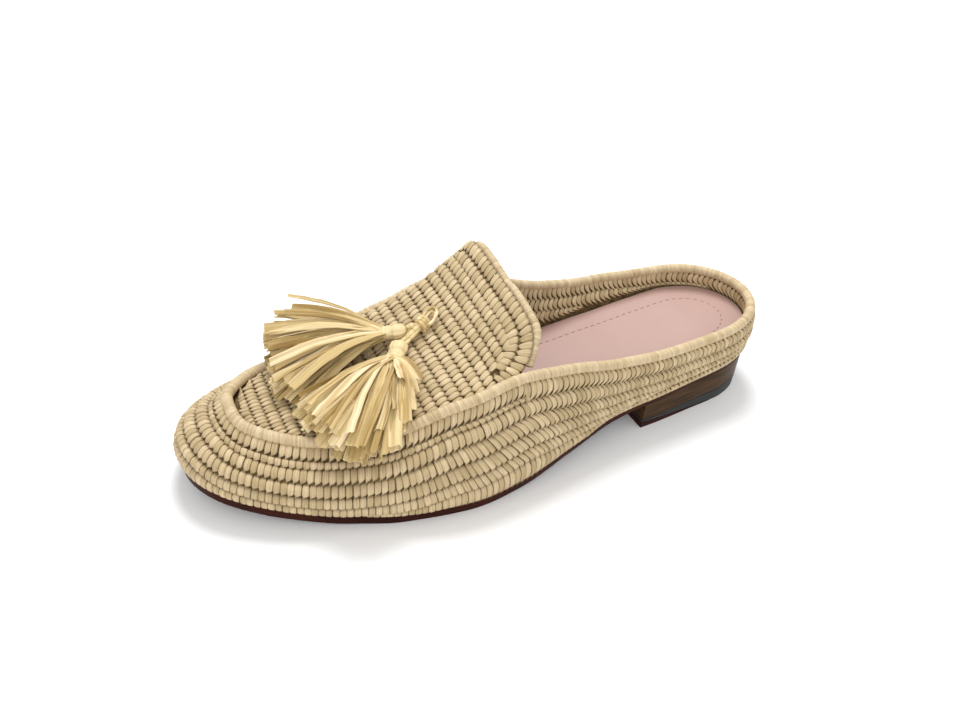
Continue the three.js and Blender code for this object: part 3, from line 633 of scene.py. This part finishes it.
def raffia(name, dark, middle, light, roughness=0.6, streaks=9, ends=0.45, bump=0.0002):
    """Dried palm strip: each strip has its own tone, with fine fibres along it, a soft sheen and painted shade towards
    both its ends.
    """
    material, tree, shader = new_material(name, middle, roughness)
    shader.inputs["Specular IOR Level"].default_value = 0.3
    tone = tree.nodes.new("ShaderNodeAttribute")
    tone.attribute_name = "tone"
    ramp = tree.nodes.new("ShaderNodeValToRGB")
    ramp.color_ramp.elements[0].position = 0.0
    ramp.color_ramp.elements[0].color = (*dark, 1)
    ramp.color_ramp.elements[1].position = 1.0
    ramp.color_ramp.elements[1].color = (*light, 1)
    centre = ramp.color_ramp.elements.new(0.45)
    centre.color = (*middle, 1)
    tree.links.new(tone.outputs["Fac"], ramp.inputs["Fac"])
    strip = tree.nodes.new("ShaderNodeUVMap")
    strip.uv_map = "strip"
    stretch = tree.nodes.new("ShaderNodeMapping")
    stretch.inputs["Scale"].default_value = (streaks, 0.9, 1)
    tree.links.new(strip.outputs["UV"], stretch.inputs["Vector"])
    apart = add_node(tree, "ShaderNodeMath")
    apart.operation = "MULTIPLY"
    apart.inputs[1].default_value = 57
    tree.links.new(tone.outputs["Fac"], apart.inputs[0])
    shift = tree.nodes.new("ShaderNodeVectorMath")
    shift.operation = "ADD"
    tree.links.new(stretch.outputs["Vector"], shift.inputs[0])
    tree.links.new(apart.outputs["Value"], shift.inputs[1])
    fibre = add_node(tree, "ShaderNodeTexNoise", Scale=1.0, Detail=4, Roughness=0.6)
    tree.links.new(shift.outputs["Vector"], fibre.inputs["Vector"])
    shade = blend_colors(tree, fibre.outputs["Fac"], (0.70, 0.64, 0.54), (1.06, 1.06, 1.06), 0.30, 0.60)
    # Painted shade: each strip darkens towards both ends, where it tucks under the row above and hooks into the hole
    # below; ends sets the top end's level, and the tail end is darker still.
    length = tree.nodes.new("ShaderNodeSeparateXYZ")
    tree.links.new(strip.outputs["UV"], length.inputs["Vector"])
    painted_end_shade = tree.nodes.new("ShaderNodeValToRGB")
    for element, position, level in zip(painted_end_shade.color_ramp.elements, (0.0, 1.0), (ends, ends * 0.7)):
        element.position = position
        element.color = (level, level * 0.92, level * 0.8, 1)
    for position in (0.16, 0.74):
        painted_end_shade.color_ramp.elements.new(position).color = (1, 1, 1, 1)
    tree.links.new(length.outputs["Y"], painted_end_shade.inputs["Fac"])
    color = ramp.outputs["Color"]
    for layer in (shade, painted_end_shade):
        mix = tree.nodes.new("ShaderNodeMix")
        mix.data_type = "RGBA"
        mix.blend_type = "MULTIPLY"
        mix.inputs["Factor"].default_value = 1.0
        tree.links.new(color, mix.inputs["A"])
        tree.links.new(layer.outputs["Color"], mix.inputs["B"])
        color = mix.outputs["Result"]
    tree.links.new(color, shader.inputs["Base Color"])
    add_bump(tree, shader, fibre.outputs["Fac"], bump, 0.6)
    return material


outer_face = wall_surface()
inner_face = wall_surface(-WALL)
woven_raffia = raffia("crocheted raffia", (0.47, 0.36, 0.20), (0.55, 0.43, 0.255), (0.65, 0.52, 0.325))
finish_piece(stitch_mesh("wall_rows", outer_rows(outer_face), ROW_STITCH), "wall_rows", woven_raffia, "raffia")

# Inside of the wall: the same rows show round the foot opening, down to the footbed
INSIDE_FROM = 0.70
INSIDE_TO = 1.30


def footbed_line(turns):
    share = length_share(turns)
    rise = top_rise(turns) - CORD_RADIUS - GAP
    return rise - FOOTBED_HEEL * column(FOOTBED, "depth", share) - 0.5


def inside_rows(surface):
    turns = np.linspace(INSIDE_FROM, INSIDE_TO, 1600)
    edges = [np.minimum(edge, footbed_line(turns)) for edge in row_edges(surface, turns)]
    return [
        wall_row(surface, turns, edges[i], edges[i + 1], side=-1, relief=0)
        for i in range(4)
    ]


finish_piece(stitch_mesh("inside_rows", inside_rows(inner_face), ROW_STITCH), "inside_rows", woven_raffia, "raffia")

# The carried-over wall shows only in the holes between the stitches and inside the toe. It is coloured as painted
# shade, dark brown so that the holes and the inside look deep
painted_shade_core, tree, shader = new_material("raffia core in painted shade", (0.10, 0.065, 0.03), 0.9)
shader.inputs["Specular IOR Level"].default_value = 0.1
weave = object_noise(tree, 420)
ramp = blend_colors(tree, weave.outputs["Fac"], (0.06, 0.036, 0.015), (0.17, 0.11, 0.05))
tree.links.new(ramp.outputs["Color"], shader.inputs["Base Color"])
add_bump(tree, shader, weave.outputs["Fac"], 0.0005, 0.7)
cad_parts["upper"].data.materials.clear()
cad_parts["upper"].data.materials.append(painted_shade_core)

# Apron: the same raffia worked in rows straight across the foot, sewn in at the seam. It rises
# behind into a tab that stands free over the instep, and two rows follow the tab's edge.
TAB_EDGE = 128.2
TAB_RISE = 20
TAB_RAKE = 8
TAB_CORNER = {"outer": 0.73, "inner": -0.95}
APRON_ROW = 4.9
CROWN = {
    "at": [0.5, 0.525, 0.55, 0.58, 0.62, 0.70, 0.78, 0.86, 0.93],
    "inner": [1.26, 0.87, 0.62, 0.42, 0.34, 0.28, 0.20, 0.13, 0.10],
    "outer": [0.83, 0.50, 0.30, 0.20, 0.15, 0.13, 0.12, 0.11, 0.10],
}
INNER_SHOULDER = 8
OUTER_SHOULDER = 3
LEDGE_DROP = CORD_RADIUS + 2.2 * GAP
BODY_INSET = CORD_RADIUS + GAP
TAB_ROWS = [
    [(130.4, -34), (130.4, 0), (130.4, 20), (131, 25), (133.5, 28.7), (137.5, 31), (142, 32.2), (147, 33)],
    [(134.3, -34), (134.3, 0), (134.3, 16), (134.8, 20.5), (137, 24.3), (141, 26.8), (145, 28.5)],
]
BRANCH_INSIDE = {"x": [136, 137, 141, 145, 149, 150], "y": [21.3, 23.4, 26.6, 29.0, 31, 99]}
APRON_STITCH = {
    "across": np.array([-0.10, 0.05, 0.22, 0.46, 0.68, 0.82, 0.93, 1.12]),
    "half": np.array([0.34, 0.46, 0.51, 0.51, 0.49, 0.40, 0.25, 0.18]),
    "height": np.array([0.15, 0.66, 0.92, 1.00, 0.92, 0.76, 0.56, 0.30]),
    "tail": np.array([0, 0, 0, 0, 0, -0.06, -0.25, -0.55]),
}
APRON_PITCH = {"at": [0.5, 0.66, 0.9], "pitch": [2.9, 2.6, 2.1]}
APRON_LEAN = -0.28
APRON_THICKNESS = 0.7
APRON_BASE = 0.45
TOE_STRAIGHT = {"at": [0.60, 0.76, 0.84], "straight": [0, 0, 1], "raised": [0.4, 1.0, 1.9]}


def seam_line(outer, inset):
    half = 0.15 + 0.35 * np.arange(241) / 240
    return seam(half if outer else 1 - half, -inset)


def apron_surface(inset, clearance):
    return {
        "outer": seam_line(True, inset),
        "inner": seam_line(False, inset),
        "outer_seam": seam_line(True, 0),
        "inner_seam": seam_line(False, 0),
        "clearance": clearance,
    }


def at_x(line, x, axis):
    return np.interp(x, line[:, 0], line[:, axis])


def on_apron(surface, x, across):
    """A point of the apron: across runs from -1 at the inner seam to 1 at the outer seam."""
    outer = at_x(surface["outer"], x, 1)
    inner = at_x(surface["inner"], x, 1)
    y = np.where(across < 0, -inner, outer) * across
    low = at_x(surface["inner_seam"], x, 1)
    high = at_x(surface["outer_seam"], x, 1)
    t = np.clip((y - low) / np.maximum(high - low, 1), 0, 1)
    sheet = at_x(surface["inner_seam"], x, 2) * (1 - t) + at_x(surface["outer_seam"], x, 2) * t
    share = x / SOLE_LENGTH
    mix = (1 + across) / 2
    crown = column(CROWN, "inner", share) * (1 - mix) + column(CROWN, "outer", share) * mix
    power = np.where(across < 0, INNER_SHOULDER, OUTER_SHOULDER)
    shoulder = (1 - np.clip(np.abs(across), 0, 1) ** power) ** (1 / power)
    return np.stack([x, y, sheet - LEDGE_DROP - surface["clearance"] + TAB_RISE * crown * shoulder], -1)


def apron_normal(surface, x, across):
    dx = on_apron(surface, x + 0.5, across) - on_apron(surface, x - 0.5, across)
    dy = on_apron(surface, x, np.clip(across + 0.01, -1, 1)) - on_apron(surface, x, np.clip(across - 0.01, -1, 1))
    normal = np.cross(dx, dy)
    return normal / (np.linalg.norm(normal, axis=-1, keepdims=True) + 1e-9)


apron_top = apron_surface(BODY_INSET, 0)
apron_end = min(apron_top["outer"][-1, 0], apron_top["inner"][-1, 0])


def flank(power, top):
    """Places down the steep side of the apron, from its foot to near its top."""
    return (1 - np.linspace(0.12, top, 60) ** power) ** (1 / power)


INNER_FLANK = -flank(INNER_SHOULDER, 0.92)
OUTER_FLANK = flank(OUTER_SHOULDER, 0.80)[::-1]
WHOLE_WIDTH = np.concatenate([INNER_FLANK, np.linspace(INNER_FLANK[-1], OUTER_FLANK[0], 300)[1:-1], OUTER_FLANK])


def across_at(x, y):
    return y / np.where(y < 0, -at_x(apron_top["inner"], x, 1), at_x(apron_top["outer"], x, 1))


def apron_edges():
    """Where the straight rows meet: an even width along the middle of the apron."""
    step = 0.5
    edges = [TAB_EDGE]
    run = 0
    x = TAB_EDGE
    while x + APRON_ROW < apron_end:
        pair = on_apron(apron_top, np.array([x, x + step]), np.zeros(2))
        run += np.linalg.norm(pair[1] - pair[0])
        x += step
        if run >= APRON_ROW * len(edges):
            edges.append(x)
    return edges + [(edges[-1] + apron_end) / 2, apron_end]


def apron_pitch(x):
    return float(np.interp(x / SOLE_LENGTH, APRON_PITCH["at"], APRON_PITCH["pitch"]))


def raked_edge(z):
    """How far forward the tab's free edge lies at a height on the inner side."""
    corner = on_apron(apron_top, np.array(TAB_EDGE), np.array(TAB_CORNER["inner"]))[2]
    foot = at_x(apron_top["inner_seam"], TAB_EDGE + TAB_RAKE, 2)
    return TAB_EDGE + TAB_RAKE * np.clip((corner - z) / (corner - foot), 0, 1)


def branch_row(plan):
    """A row that follows the tab's edge, up its inner side and forward at its outer corner."""
    plan = np.array(plan, float)
    behind = plan[0, 0] - TAB_EDGE
    side_x = np.full(INNER_FLANK.shape, plan[0, 0])
    for _ in range(4):
        side_x = raked_edge(on_apron(apron_top, side_x, INNER_FLANK)[:, 2]) + behind
    step = np.concatenate([[0], np.cumsum(np.linalg.norm(np.diff(plan, axis=0), axis=1))])
    spots = np.linspace(0, step[-1], 400)
    line = np.stack([np.interp(spots, step, plan[:, k]) for k in range(2)], -1)
    for _ in range(300):
        line[1:-1] = (line[:-2] + 2 * line[1:-1] + line[2:]) / 4
    across = across_at(line[:, 0], line[:, 1])
    over = (across > INNER_FLANK[-1] + 0.02) & (across < 0.97)
    x = np.concatenate([side_x, line[over, 0]])
    across = np.concatenate([INNER_FLANK, across[over]])
    centre = on_apron(apron_top, x, across)
    normal = apron_normal(apron_top, x, across)
    along = np.gradient(centre, axis=0)
    along /= np.linalg.norm(along, axis=1, keepdims=True) + 1e-9
    behind = np.cross(normal, along)
    edge = centre + behind * (APRON_ROW / 2 + 0.4)
    far_edge = centre - behind * APRON_ROW / 2
    return stitched_row(
        edge, far_edge, normal, apron_pitch(TAB_EDGE), (APRON_STITCH,),
        lean=APRON_LEAN, relief=APRON_BASE, thickness=APRON_THICKNESS,
    )


def toe_limit(y):
    """How far forward the apron reaches at a distance from the middle line."""
    outer, inner = apron_top["outer"], apron_top["inner"]
    outer = outer[np.argmax(outer[:, 1]):]
    inner = inner[np.argmin(inner[:, 1]):]
    on_inner = np.interp(y, inner[:, 1], inner[:, 0], left=0)
    return np.where(y < 0, on_inner, np.interp(-y, -outer[:, 1], outer[:, 0], left=0))


def straight_row(start, end):
    """One row across the foot; towards the toe its stitches stay parallel and end at the seam."""
    across = WHOLE_WIDTH
    middle = (start + end) / 2
    inside = np.interp(middle, BRANCH_INSIDE["x"], BRANCH_INSIDE["y"])
    across = across[across < across_at(middle, inside)]
    share = middle / SOLE_LENGTH
    straight, raised = (np.interp(share, TOE_STRAIGHT["at"], TOE_STRAIGHT[key]) for key in ("straight", "raised"))
    near = np.full(across.shape, start)
    edge = on_apron(apron_top, near, across)
    far_x = np.full(across.shape, end)
    reach = across * np.where(across < 0, -at_x(apron_top["inner"], far_x, 1), at_x(apron_top["outer"], far_x, 1))
    y = reach * (1 - straight) + edge[:, 1] * straight
    if straight > 0.9:
        far_x = np.clip(toe_limit(y), start + 0.01, end)
    far_across = np.clip(across_at(far_x, y), -1, 1)
    far_edge = on_apron(apron_top, far_x, far_across)
    normal = apron_normal(apron_top, (near + far_x) / 2, across)
    lift = raised * np.abs(across) ** 3
    edge[:, 2] += lift
    far_edge[:, 2] += lift
    return stitched_row(
        edge, far_edge, normal, apron_pitch(middle), (APRON_STITCH,),
        lean=APRON_LEAN, relief=APRON_BASE, thickness=APRON_THICKNESS,
    )


across_edges = apron_edges()
apron_lines = [branch_row(plan) for plan in TAB_ROWS]
apron_lines += [straight_row(start, end) for start, end in zip(across_edges[2:], across_edges[3:])]
finish_piece(stitch_mesh("apron_rows", apron_lines, APRON_STITCH), "apron_rows", woven_raffia, "raffia")

# Edge cord: a core wrapped tightly with one raffia strip, whip-stitched over the wall's top. It
# is the topline round the heel and the raised seam round the apron.
WRAP_PITCH = 2.2
WRAP_DEPTH = 0.36


def wrapped_cord(name, path, radius, pitch, closed=False, sides=14, per_wrap=7, lean=0.8):
    """A round cord along a path of points, its strip lapped in slanting turns."""
    if closed:
        path = np.concatenate([path, path[:1]])
    step = np.linalg.norm(np.diff(path, axis=0), axis=1)
    run = np.concatenate([[0], np.cumsum(step)])
    wraps = max(3, int(round(run[-1] / pitch)))
    count = wraps * per_wrap
    spots = np.linspace(0, run[-1], count + 1)
    centre = np.stack([np.interp(spots, run, path[:, k]) for k in range(3)], -1)
    if closed:
        before, after = np.roll(centre[:-1], 1, 0), np.roll(centre[:-1], -1, 0)
        centre = centre[:-1]
        along = after - before
    else:
        along = np.gradient(centre, axis=0)
    along /= np.linalg.norm(along, axis=1, keepdims=True)
    side = np.cross(along, [0, 0, 1])
    side /= np.linalg.norm(side, axis=1, keepdims=True) + 1e-9
    up = np.cross(side, along)
    angle = 2 * np.pi * np.arange(sides) / sides
    phase = np.arange(len(centre))[:, None] / per_wrap + lean * angle[None, :] / (2 * np.pi)
    lap = np.mod(phase, 1)
    size = radius - WRAP_DEPTH * (1 - np.sin(np.pi * lap) ** 0.35)
    if not closed:
        size[0] *= 0.5
        size[-1] *= 0.5
    points = centre[:, None] + side[:, None] * (size * np.cos(angle))[..., None]
    points = points + up[:, None] * (size * np.sin(angle))[..., None]
    faces = strip_faces(len(centre), sides)
    if closed:
        faces = faces[:-2]
        last = (len(centre) - 1) * sides
        faces += [(last + j, last + (j + 1) % sides, (j + 1) % sides, j) for j in range(sides)]
    uv = np.stack([lap, angle[None, :] / 6.283 * 0.5 + 0.25 + 0 * lap], -1)
    piece = joined_mesh(name, points.reshape(1, -1, 3), faces, uv.reshape(1, -1, 2))
    tone = piece.data.attributes.new("tone", "FLOAT", "POINT")
    each = random.uniform(0, 1, wraps + 3)
    value = each[np.clip(np.floor(phase + 1), 0, wraps + 2).astype(int)]
    tone.data.foreach_set("value", value.ravel().astype(np.float32))
    return piece


cord_raffia = raffia("wrapped raffia cord", (0.54, 0.42, 0.25), (0.60, 0.475, 0.30), (0.66, 0.535, 0.345), streaks=4, ends=0.9)
edge_cord = wrapped_cord("edge_wrap", seam(np.arange(1440) / 1440), CORD_RADIUS - 0.15, WRAP_PITCH, closed=True)
finish_piece(edge_cord, "edge_wrap", cord_raffia, "raffia_cord", "edge_cord")

# Tab cord: the same wrapped cord finishes the tab's free edge and dies into the seam
TAB_CORD_RADIUS = 2.2
apron_under = apron_surface(BODY_INSET + WALL, WALL)


def edge_at(outer, z):
    side = "outer" if outer else "inner"
    corner = on_apron(apron_top, np.array(TAB_EDGE), np.array(TAB_CORNER[side]))[2]
    foot = at_x(apron_top[side + "_seam"], TAB_EDGE + TAB_RAKE, 2)
    return TAB_EDGE + TAB_RAKE * max(0, (corner - z) / (corner - foot))


def tab_edge(angle):
    across = np.array(math.cos(angle))
    x = TAB_EDGE
    for _ in range(4):
        top = on_apron(apron_top, np.array(x), across)
        under = on_apron(apron_under, np.array(x), across)
        point = (top + under) / 2
        x = edge_at(across >= 0, point[2])
    point[0] = x
    return point


def tab_cord_path():
    points = []
    steps = 72
    for i in range(1, steps):
        angle = math.pi * i / steps
        along = tab_edge(angle + 0.02) - tab_edge(angle - 0.02)
        along /= np.linalg.norm(along)
        back = np.array([-1, 0, 0]) + along * along[0]
        back /= np.linalg.norm(back)
        centre = tab_edge(angle) + back * (TAB_CORD_RADIUS + 1.3 * GAP)
        side = "inner_seam" if centre[1] < 0 else "outer_seam"
        beside = np.array([at_x(apron_top[side], centre[0], 1), at_x(apron_top[side], centre[0], 2)])
        if np.linalg.norm(centre[1:] - beside) > CORD_RADIUS + TAB_CORD_RADIUS and centre[2] > beside[1]:
            points.append(centre)
    return np.array(points)


tab_cord = wrapped_cord("tab_wrap", tab_cord_path(), TAB_CORD_RADIUS - 0.1, WRAP_PITCH)
finish_piece(tab_cord, "tab_wrap", cord_raffia, "raffia_cord", "tab_cord")

# Tassels: each is a bundle of pale raffia strips folded over the tie and bound at the neck, so
# that the cut ends fan out and lie on the apron.
STRIP_LENGTH = 50
NECK_HEIGHT = 5.5
HEAD_HEIGHT = 5
TASSELS = {
    "inner": {
        "head": (0.659, -0.23), "neck": (0.675, -0.29), "seed": 3,
        "heading": [-44, -30, -22, -14, -6, 0, 6, 16],
        "length": [0.86, 0.95, 0.96, 0.95, 0.95, 0.97, 0.98, 0.93],
        "fall": [0.14, 0.16, 0.18, 0.22, 0.26, 0.30, 0.30, 0.28],
    },
    "outer": {
        "head": (0.671, 0.02), "neck": (0.682, 0.14), "seed": 8,
        "heading": [10, 22, 30, 38, 46, 54, 62, 80],
        "length": [0.86, 0.88, 0.90, 0.94, 0.96, 0.97, 0.90, 0.62],
        "fall": [0.20, 0.19, 0.20, 0.20, 0.22, 0.24, 0.24, 0.14],
    },
}
STRIPS = 78
STRIP_THICKNESS = 0.3
carrier = BVHTree.FromPolygons(
    [v.co[:] for name in ("upper", "edge_cord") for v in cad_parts[name].data.vertices],
    [[c + k * len(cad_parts["upper"].data.vertices) for c in p.vertices]
     for k, name in enumerate(("upper", "edge_cord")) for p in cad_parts[name].data.polygons],
)


def over_apron(share, across, height):
    return on_apron(apron_top, np.array(SOLE_LENGTH * share), np.array(across)) + [0, 0, height]


def surface_under(point):
    """Height of the apron or cord under a point, in the last's millimetres."""
    spot = in_frame(point)
    hit = carrier.ray_cast(Vector((spot[0], spot[1], 0.09)), Vector((0, 0, -1)))[0]
    return 0 if hit is None else hit.z * 1000


def ribbon(start, heading, length, fall, half, lift, arch, bend, twist):
    """A flat strip with a few lengthwise pleats, narrow at the neck and cut square at its end."""
    stations = 13
    ahead = np.array([math.cos(heading), math.sin(heading), 0])
    across = np.array([-ahead[1], ahead[0], 0])
    run = math.sqrt(max(length**2 - fall**2, 1))
    u = np.array([-1, -0.5, 0, 0.5, 1])
    pleat = random.uniform(-0.5, 0.5, 5) * half * 0.9
    wander = random.normal(0, 0.25, (stations, 5)).cumsum(0) * 0.6
    sway = random.normal(0, 0.22, stations).cumsum() * 0.7
    cut = random.uniform(-0.8, 0.8)
    rings = np.empty((stations, 10, 3))
    for k, s in enumerate(np.linspace(0, 1, stations)):
        centre = start + ahead * run * s + across * (bend * s * s + sway[k])
        centre[2] = start[2] - fall * s * s + lift * min(1, 2.5 * s) + arch * math.sin(math.pi * s)
        centre[2] = max(centre[2], surface_under(centre) + 1.3 + 0.3 * half)
        turned = twist * (0.3 + 0.7 * s)
        wide = across * math.cos(turned) + np.array([0, 0, math.sin(turned)])
        thick = -across * math.sin(turned) + np.array([0, 0, math.cos(turned)])
        grow = half * (0.35 + 0.65 * min(1, 1.6 * s))
        raised = (pleat + wander[k]) * min(1, 1.5 * s)
        for j in range(5):
            end = ahead * cut * u[j] * s**6
            rings[k, j] = centre + wide * u[j] * grow + thick * raised[j] + end
            rings[k, 9 - j] = rings[k, j] - thick * STRIP_THICKNESS
    return rings.reshape(-1, 3)


def tassel_strips(name, form):
    neck = over_apron(*form["neck"], NECK_HEIGHT)
    share = np.linspace(0, 1, len(form["heading"]))
    strips = []
    for i in range(STRIPS):
        fan = (i * 0.618034) % 1
        layer = i / STRIPS
        heading = math.radians(np.interp(fan, share, form["heading"]) + random.normal(0, 2.5))
        length = STRIP_LENGTH * np.interp(fan, share, form["length"]) * random.uniform(0.90, 1.03)
        fall = STRIP_LENGTH * np.interp(fan, share, form["fall"]) + 3 - 9 * layer
        broad = random.uniform() < 0.6
        half = random.uniform(1.9, 2.9) if broad else random.uniform(0.8, 1.5)
        beside = np.array([-math.sin(heading), math.cos(heading), 0]) * random.uniform(-2.2, 2.2)
        arch = random.uniform(-0.5, 2.0) * (0.5 + layer)
        strips.append(ribbon(
            neck + beside + [0, 0, 2.4 * (layer - 0.5)], heading, length, fall, half,
            1.5 * layer, arch, random.normal(0, 1.8), random.normal(0, 0.35),
        ))
    return strips


def strip_mesh(name, strips):
    points = np.stack(strips)
    v = np.linspace(0, 1, 13)[:, None]
    u = np.array([0, 0.25, 0.5, 0.75, 1, 1, 0.75, 0.5, 0.25, 0])[None, :]
    uv = np.stack([u + 0 * v, 0.2 + 0.5 * v + 0 * u], -1).reshape(-1, 2)
    uv = np.broadcast_to(uv, (len(points), len(uv), 2))
    piece = joined_mesh(name, points, strip_faces(13, 10), uv, random.uniform(0, 1, len(points)))
    piece.data.shade_flat()
    return piece


def bound_neck(form):
    """Turns of strip round the folded bundle, with the bulb of the folds behind them."""
    neck = over_apron(*form["neck"], NECK_HEIGHT)
    head = over_apron(*form["head"], HEAD_HEIGHT)
    back = head - neck
    axis = back / np.linalg.norm(back)
    along = np.linspace(-5.5, np.linalg.norm(back) + 3.2, 41)
    reach = along[-1]
    radius = np.interp(along, [-5.5, -3.2, -1.9, -1.5, 1.5, 1.9, 3.2, reach - 2, reach - 0.6, reach],
                       [2.6, 2.8, 2.6, 3.1, 3.1, 2.5, 3.3, 3.1, 2.1, 0.8])
    side = np.cross(axis, [0, 0, 1])
    side /= np.linalg.norm(side)
    up = np.cross(side, axis)
    sides = 30
    angle = 2 * np.pi * np.arange(sides) / sides
    bound = np.abs(along) <= 1.5
    folds = 0.09 * np.sin(6 * angle + 1.3 * np.sin(2 * angle))[None, :] * ~bound[:, None]
    turns = 0.05 * np.sin(along * 4.2)[:, None] * bound[:, None]
    size = radius[:, None] * (1 + folds + turns)
    centre = neck + axis * along[:, None]
    points = centre[:, None] + side * (size * np.cos(angle))[..., None] * 1.1
    points = points + up * (size * np.sin(angle))[..., None] * 0.82
    uv = np.stack([angle / 6.283 * 3 + 0 * size, 0.2 + 0.01 * along[:, None] + 0 * size], -1)
    return joined_mesh("neck", points.reshape(1, -1, 3), strip_faces(41, sides), uv.reshape(1, -1, 2), np.array([0.6]))


tassel_raffia = raffia(
    "pale tassel raffia", (0.50, 0.36, 0.14), (0.72, 0.57, 0.30), (0.88, 0.74, 0.48), 0.5, 4, 1.0, 0.0003,
)
for side_name, form in TASSELS.items():
    strips = strip_mesh(side_name, tassel_strips(side_name, form))
    finish_piece(strips, f"tassel_{side_name}_strips", tassel_raffia, "raffia_tassel", f"tassel_{side_name}")
    finish_piece(bound_neck(form), f"tassel_{side_name}_neck", tassel_raffia, "raffia_tassel")

# Loose ends: a few thin strips that have sprung out of the bundles
STRAYS = [
    ("inner", -58, 50, 3, 0.5, 2),
    ("inner", -30, 40, -4, 0.5, 3),
    ("outer", 74, 40, 10, 0.6, 2),
    ("outer", 80, 22, 2, 1.8, 3),
    ("outer", 90, 16, 1, 2.0, 2),
    ("outer", 70, 18, -3, 1.6, 2),
]
strays = [
    ribbon(over_apron(*TASSELS[side]["neck"], NECK_HEIGHT), math.radians(heading), length, fall, half, 1, arch, 2, 0.5)
    for side, heading, length, fall, half, arch in STRAYS
]
finish_piece(strip_mesh("strays", strays), "tassel_loose_ends", tassel_raffia, "raffia_tassel")

# Tie: strips knotted on the apron. They leave a small loop behind the knot and run forward in
# stems to the tassels' heads.
KNOT = over_apron(0.620, -0.20, 3.8)
LOOP_SIZE = 7


def tie_strand(name, controls, radius, pitch=6):
    path = np.array(controls, float)
    spots = np.linspace(0, len(path) - 1, 60)
    smooth = np.stack([np.interp(spots, np.arange(len(path)), path[:, k]) for k in range(3)], -1)
    for _ in range(12):
        smooth[1:-1] = (smooth[:-2] + 2 * smooth[1:-1] + smooth[2:]) / 4
    return wrapped_cord(name, smooth, radius, pitch, sides=10, per_wrap=8, lean=0.2)


inner_head = over_apron(*TASSELS["inner"]["head"], HEAD_HEIGHT)
outer_head = over_apron(*TASSELS["outer"]["head"], HEAD_HEIGHT)
stem_way = (outer_head - KNOT) / np.linalg.norm(outer_head - KNOT)
stem_side = np.cross([0, 0, 1], stem_way)
stem_side /= np.linalg.norm(stem_side)
stem_up = np.cross(stem_way, stem_side)
ring_angle = np.linspace(0, 2 * np.pi * 0.97, 30)


def knot_turn(shift, tilt):
    around = stem_side * 2.7 * np.cos(ring_angle)[:, None] + stem_up * 1.9 * np.sin(ring_angle)[:, None]
    return KNOT + around + stem_way * (shift + tilt * np.cos(ring_angle))[:, None]


loop_out = LOOP_SIZE / 2 * (1 - np.cos(ring_angle))
loop_ring = np.stack([-loop_out, LOOP_SIZE / 2 * np.sin(ring_angle) - loop_out / 2, loop_out / 2], -1)
tie_paths = {
    "tie_knot": (knot_turn(0, 0.5), 0.95),
    "tie_knot_front": (knot_turn(1.5, 0.5), 0.9),
    "tie_knot_back": (knot_turn(-1.5, 0.5), 0.9),
    "tie_loop": (KNOT + loop_ring, 0.75),
    "tie_loop_second": (KNOT + loop_ring * 0.72 + [-0.6, 0.9, 0.4], 0.6),
    "tie_stem_left": ([KNOT - stem_side * 0.9, outer_head - stem_side * 1.1], 0.85),
    "tie_stem_middle": ([KNOT + stem_up * 0.5, outer_head + stem_up * 0.6], 0.85),
    "tie_stem_right": ([KNOT + stem_side * 0.9, outer_head + stem_side * 1.1], 0.85),
    "tie_stem_inner": ([KNOT, (KNOT + inner_head) / 2 + [0, 0, 0.6], inner_head], 1.1),
}
for strand_name, (path, radius) in tie_paths.items():
    strand = tie_strand(strand_name, path, radius)
    nodes = ("tassel_tie",) if strand_name == "tie_knot" else ()
    finish_piece(strand, strand_name, tassel_raffia, "raffia_tassel", *nodes)

# Studio: a white floor that runs out of view, soft light from above and behind, the photo's angle
CAMERA_AZIMUTH = 150.41
CAMERA_ELEVATION = 35.95
CAMERA_ROLL = 6.30
CAMERA_DISTANCE = 380
CAMERA_TARGET = (130.25, -10.20, 20)
FOCAL_PIXELS = 879.6
IMAGE_WIDTH = 960

bpy.ops.object.select_all(action="DESELECT")
bpy.ops.mesh.primitive_plane_add(size=8)
floor = bpy.context.object
floor.name = "floor"
floor_paint, tree, shader = new_material("white studio floor", (0.93, 0.93, 0.93), 0.9)
shader.inputs["Specular IOR Level"].default_value = 0.1
floor.data.materials.append(floor_paint)

azimuth, elevation, roll = (math.radians(v) for v in (CAMERA_AZIMUTH, CAMERA_ELEVATION, CAMERA_ROLL))
back = Vector((
    math.sin(azimuth) * math.cos(elevation),
    -math.cos(azimuth) * math.cos(elevation),
    math.sin(elevation),
))
level = Vector((0, 0, 1)).cross(back).normalized()
upright = back.cross(level)
right = math.cos(roll) * level + math.sin(roll) * upright
top = math.cos(roll) * upright - math.sin(roll) * level
target = Vector(in_frame(CAMERA_TARGET))
camera_data = bpy.data.cameras.new("camera")
camera_data.sensor_width = 36
camera_data.lens = FOCAL_PIXELS * 36 / IMAGE_WIDTH
camera_data.clip_start = 0.01
camera = bpy.data.objects.new("camera", camera_data)
scene.collection.objects.link(camera)
camera.matrix_world = Matrix((right, top, back)).transposed().to_4x4()
camera.location = target + back * CAMERA_DISTANCE / 1000
scene.camera = camera


def soft_light(name, place_at, size, power):
    lamp = bpy.data.lights.new(name, "AREA")
    lamp.shape = "DISK"
    lamp.size = size
    lamp.energy = power
    thing = bpy.data.objects.new(name, lamp)
    scene.collection.objects.link(thing)
    thing.location = place_at
    thing.rotation_euler = (Vector((0, 0, 0.03)) - Vector(place_at)).to_track_quat("-Z", "Y").to_euler()


soft_light("key", (-0.15, -0.55, 1.1), 0.5, 11)
soft_light("fill", (0.5, 0.9, 0.7), 0.8, 4)
world = bpy.data.worlds.new("studio")
world.use_nodes = True
world.node_tree.nodes["Background"].inputs["Color"].default_value = (1, 1, 1, 1)
world.node_tree.nodes["Background"].inputs["Strength"].default_value = 0.8
scene.world = world
scene.view_settings.view_transform = "Standard"
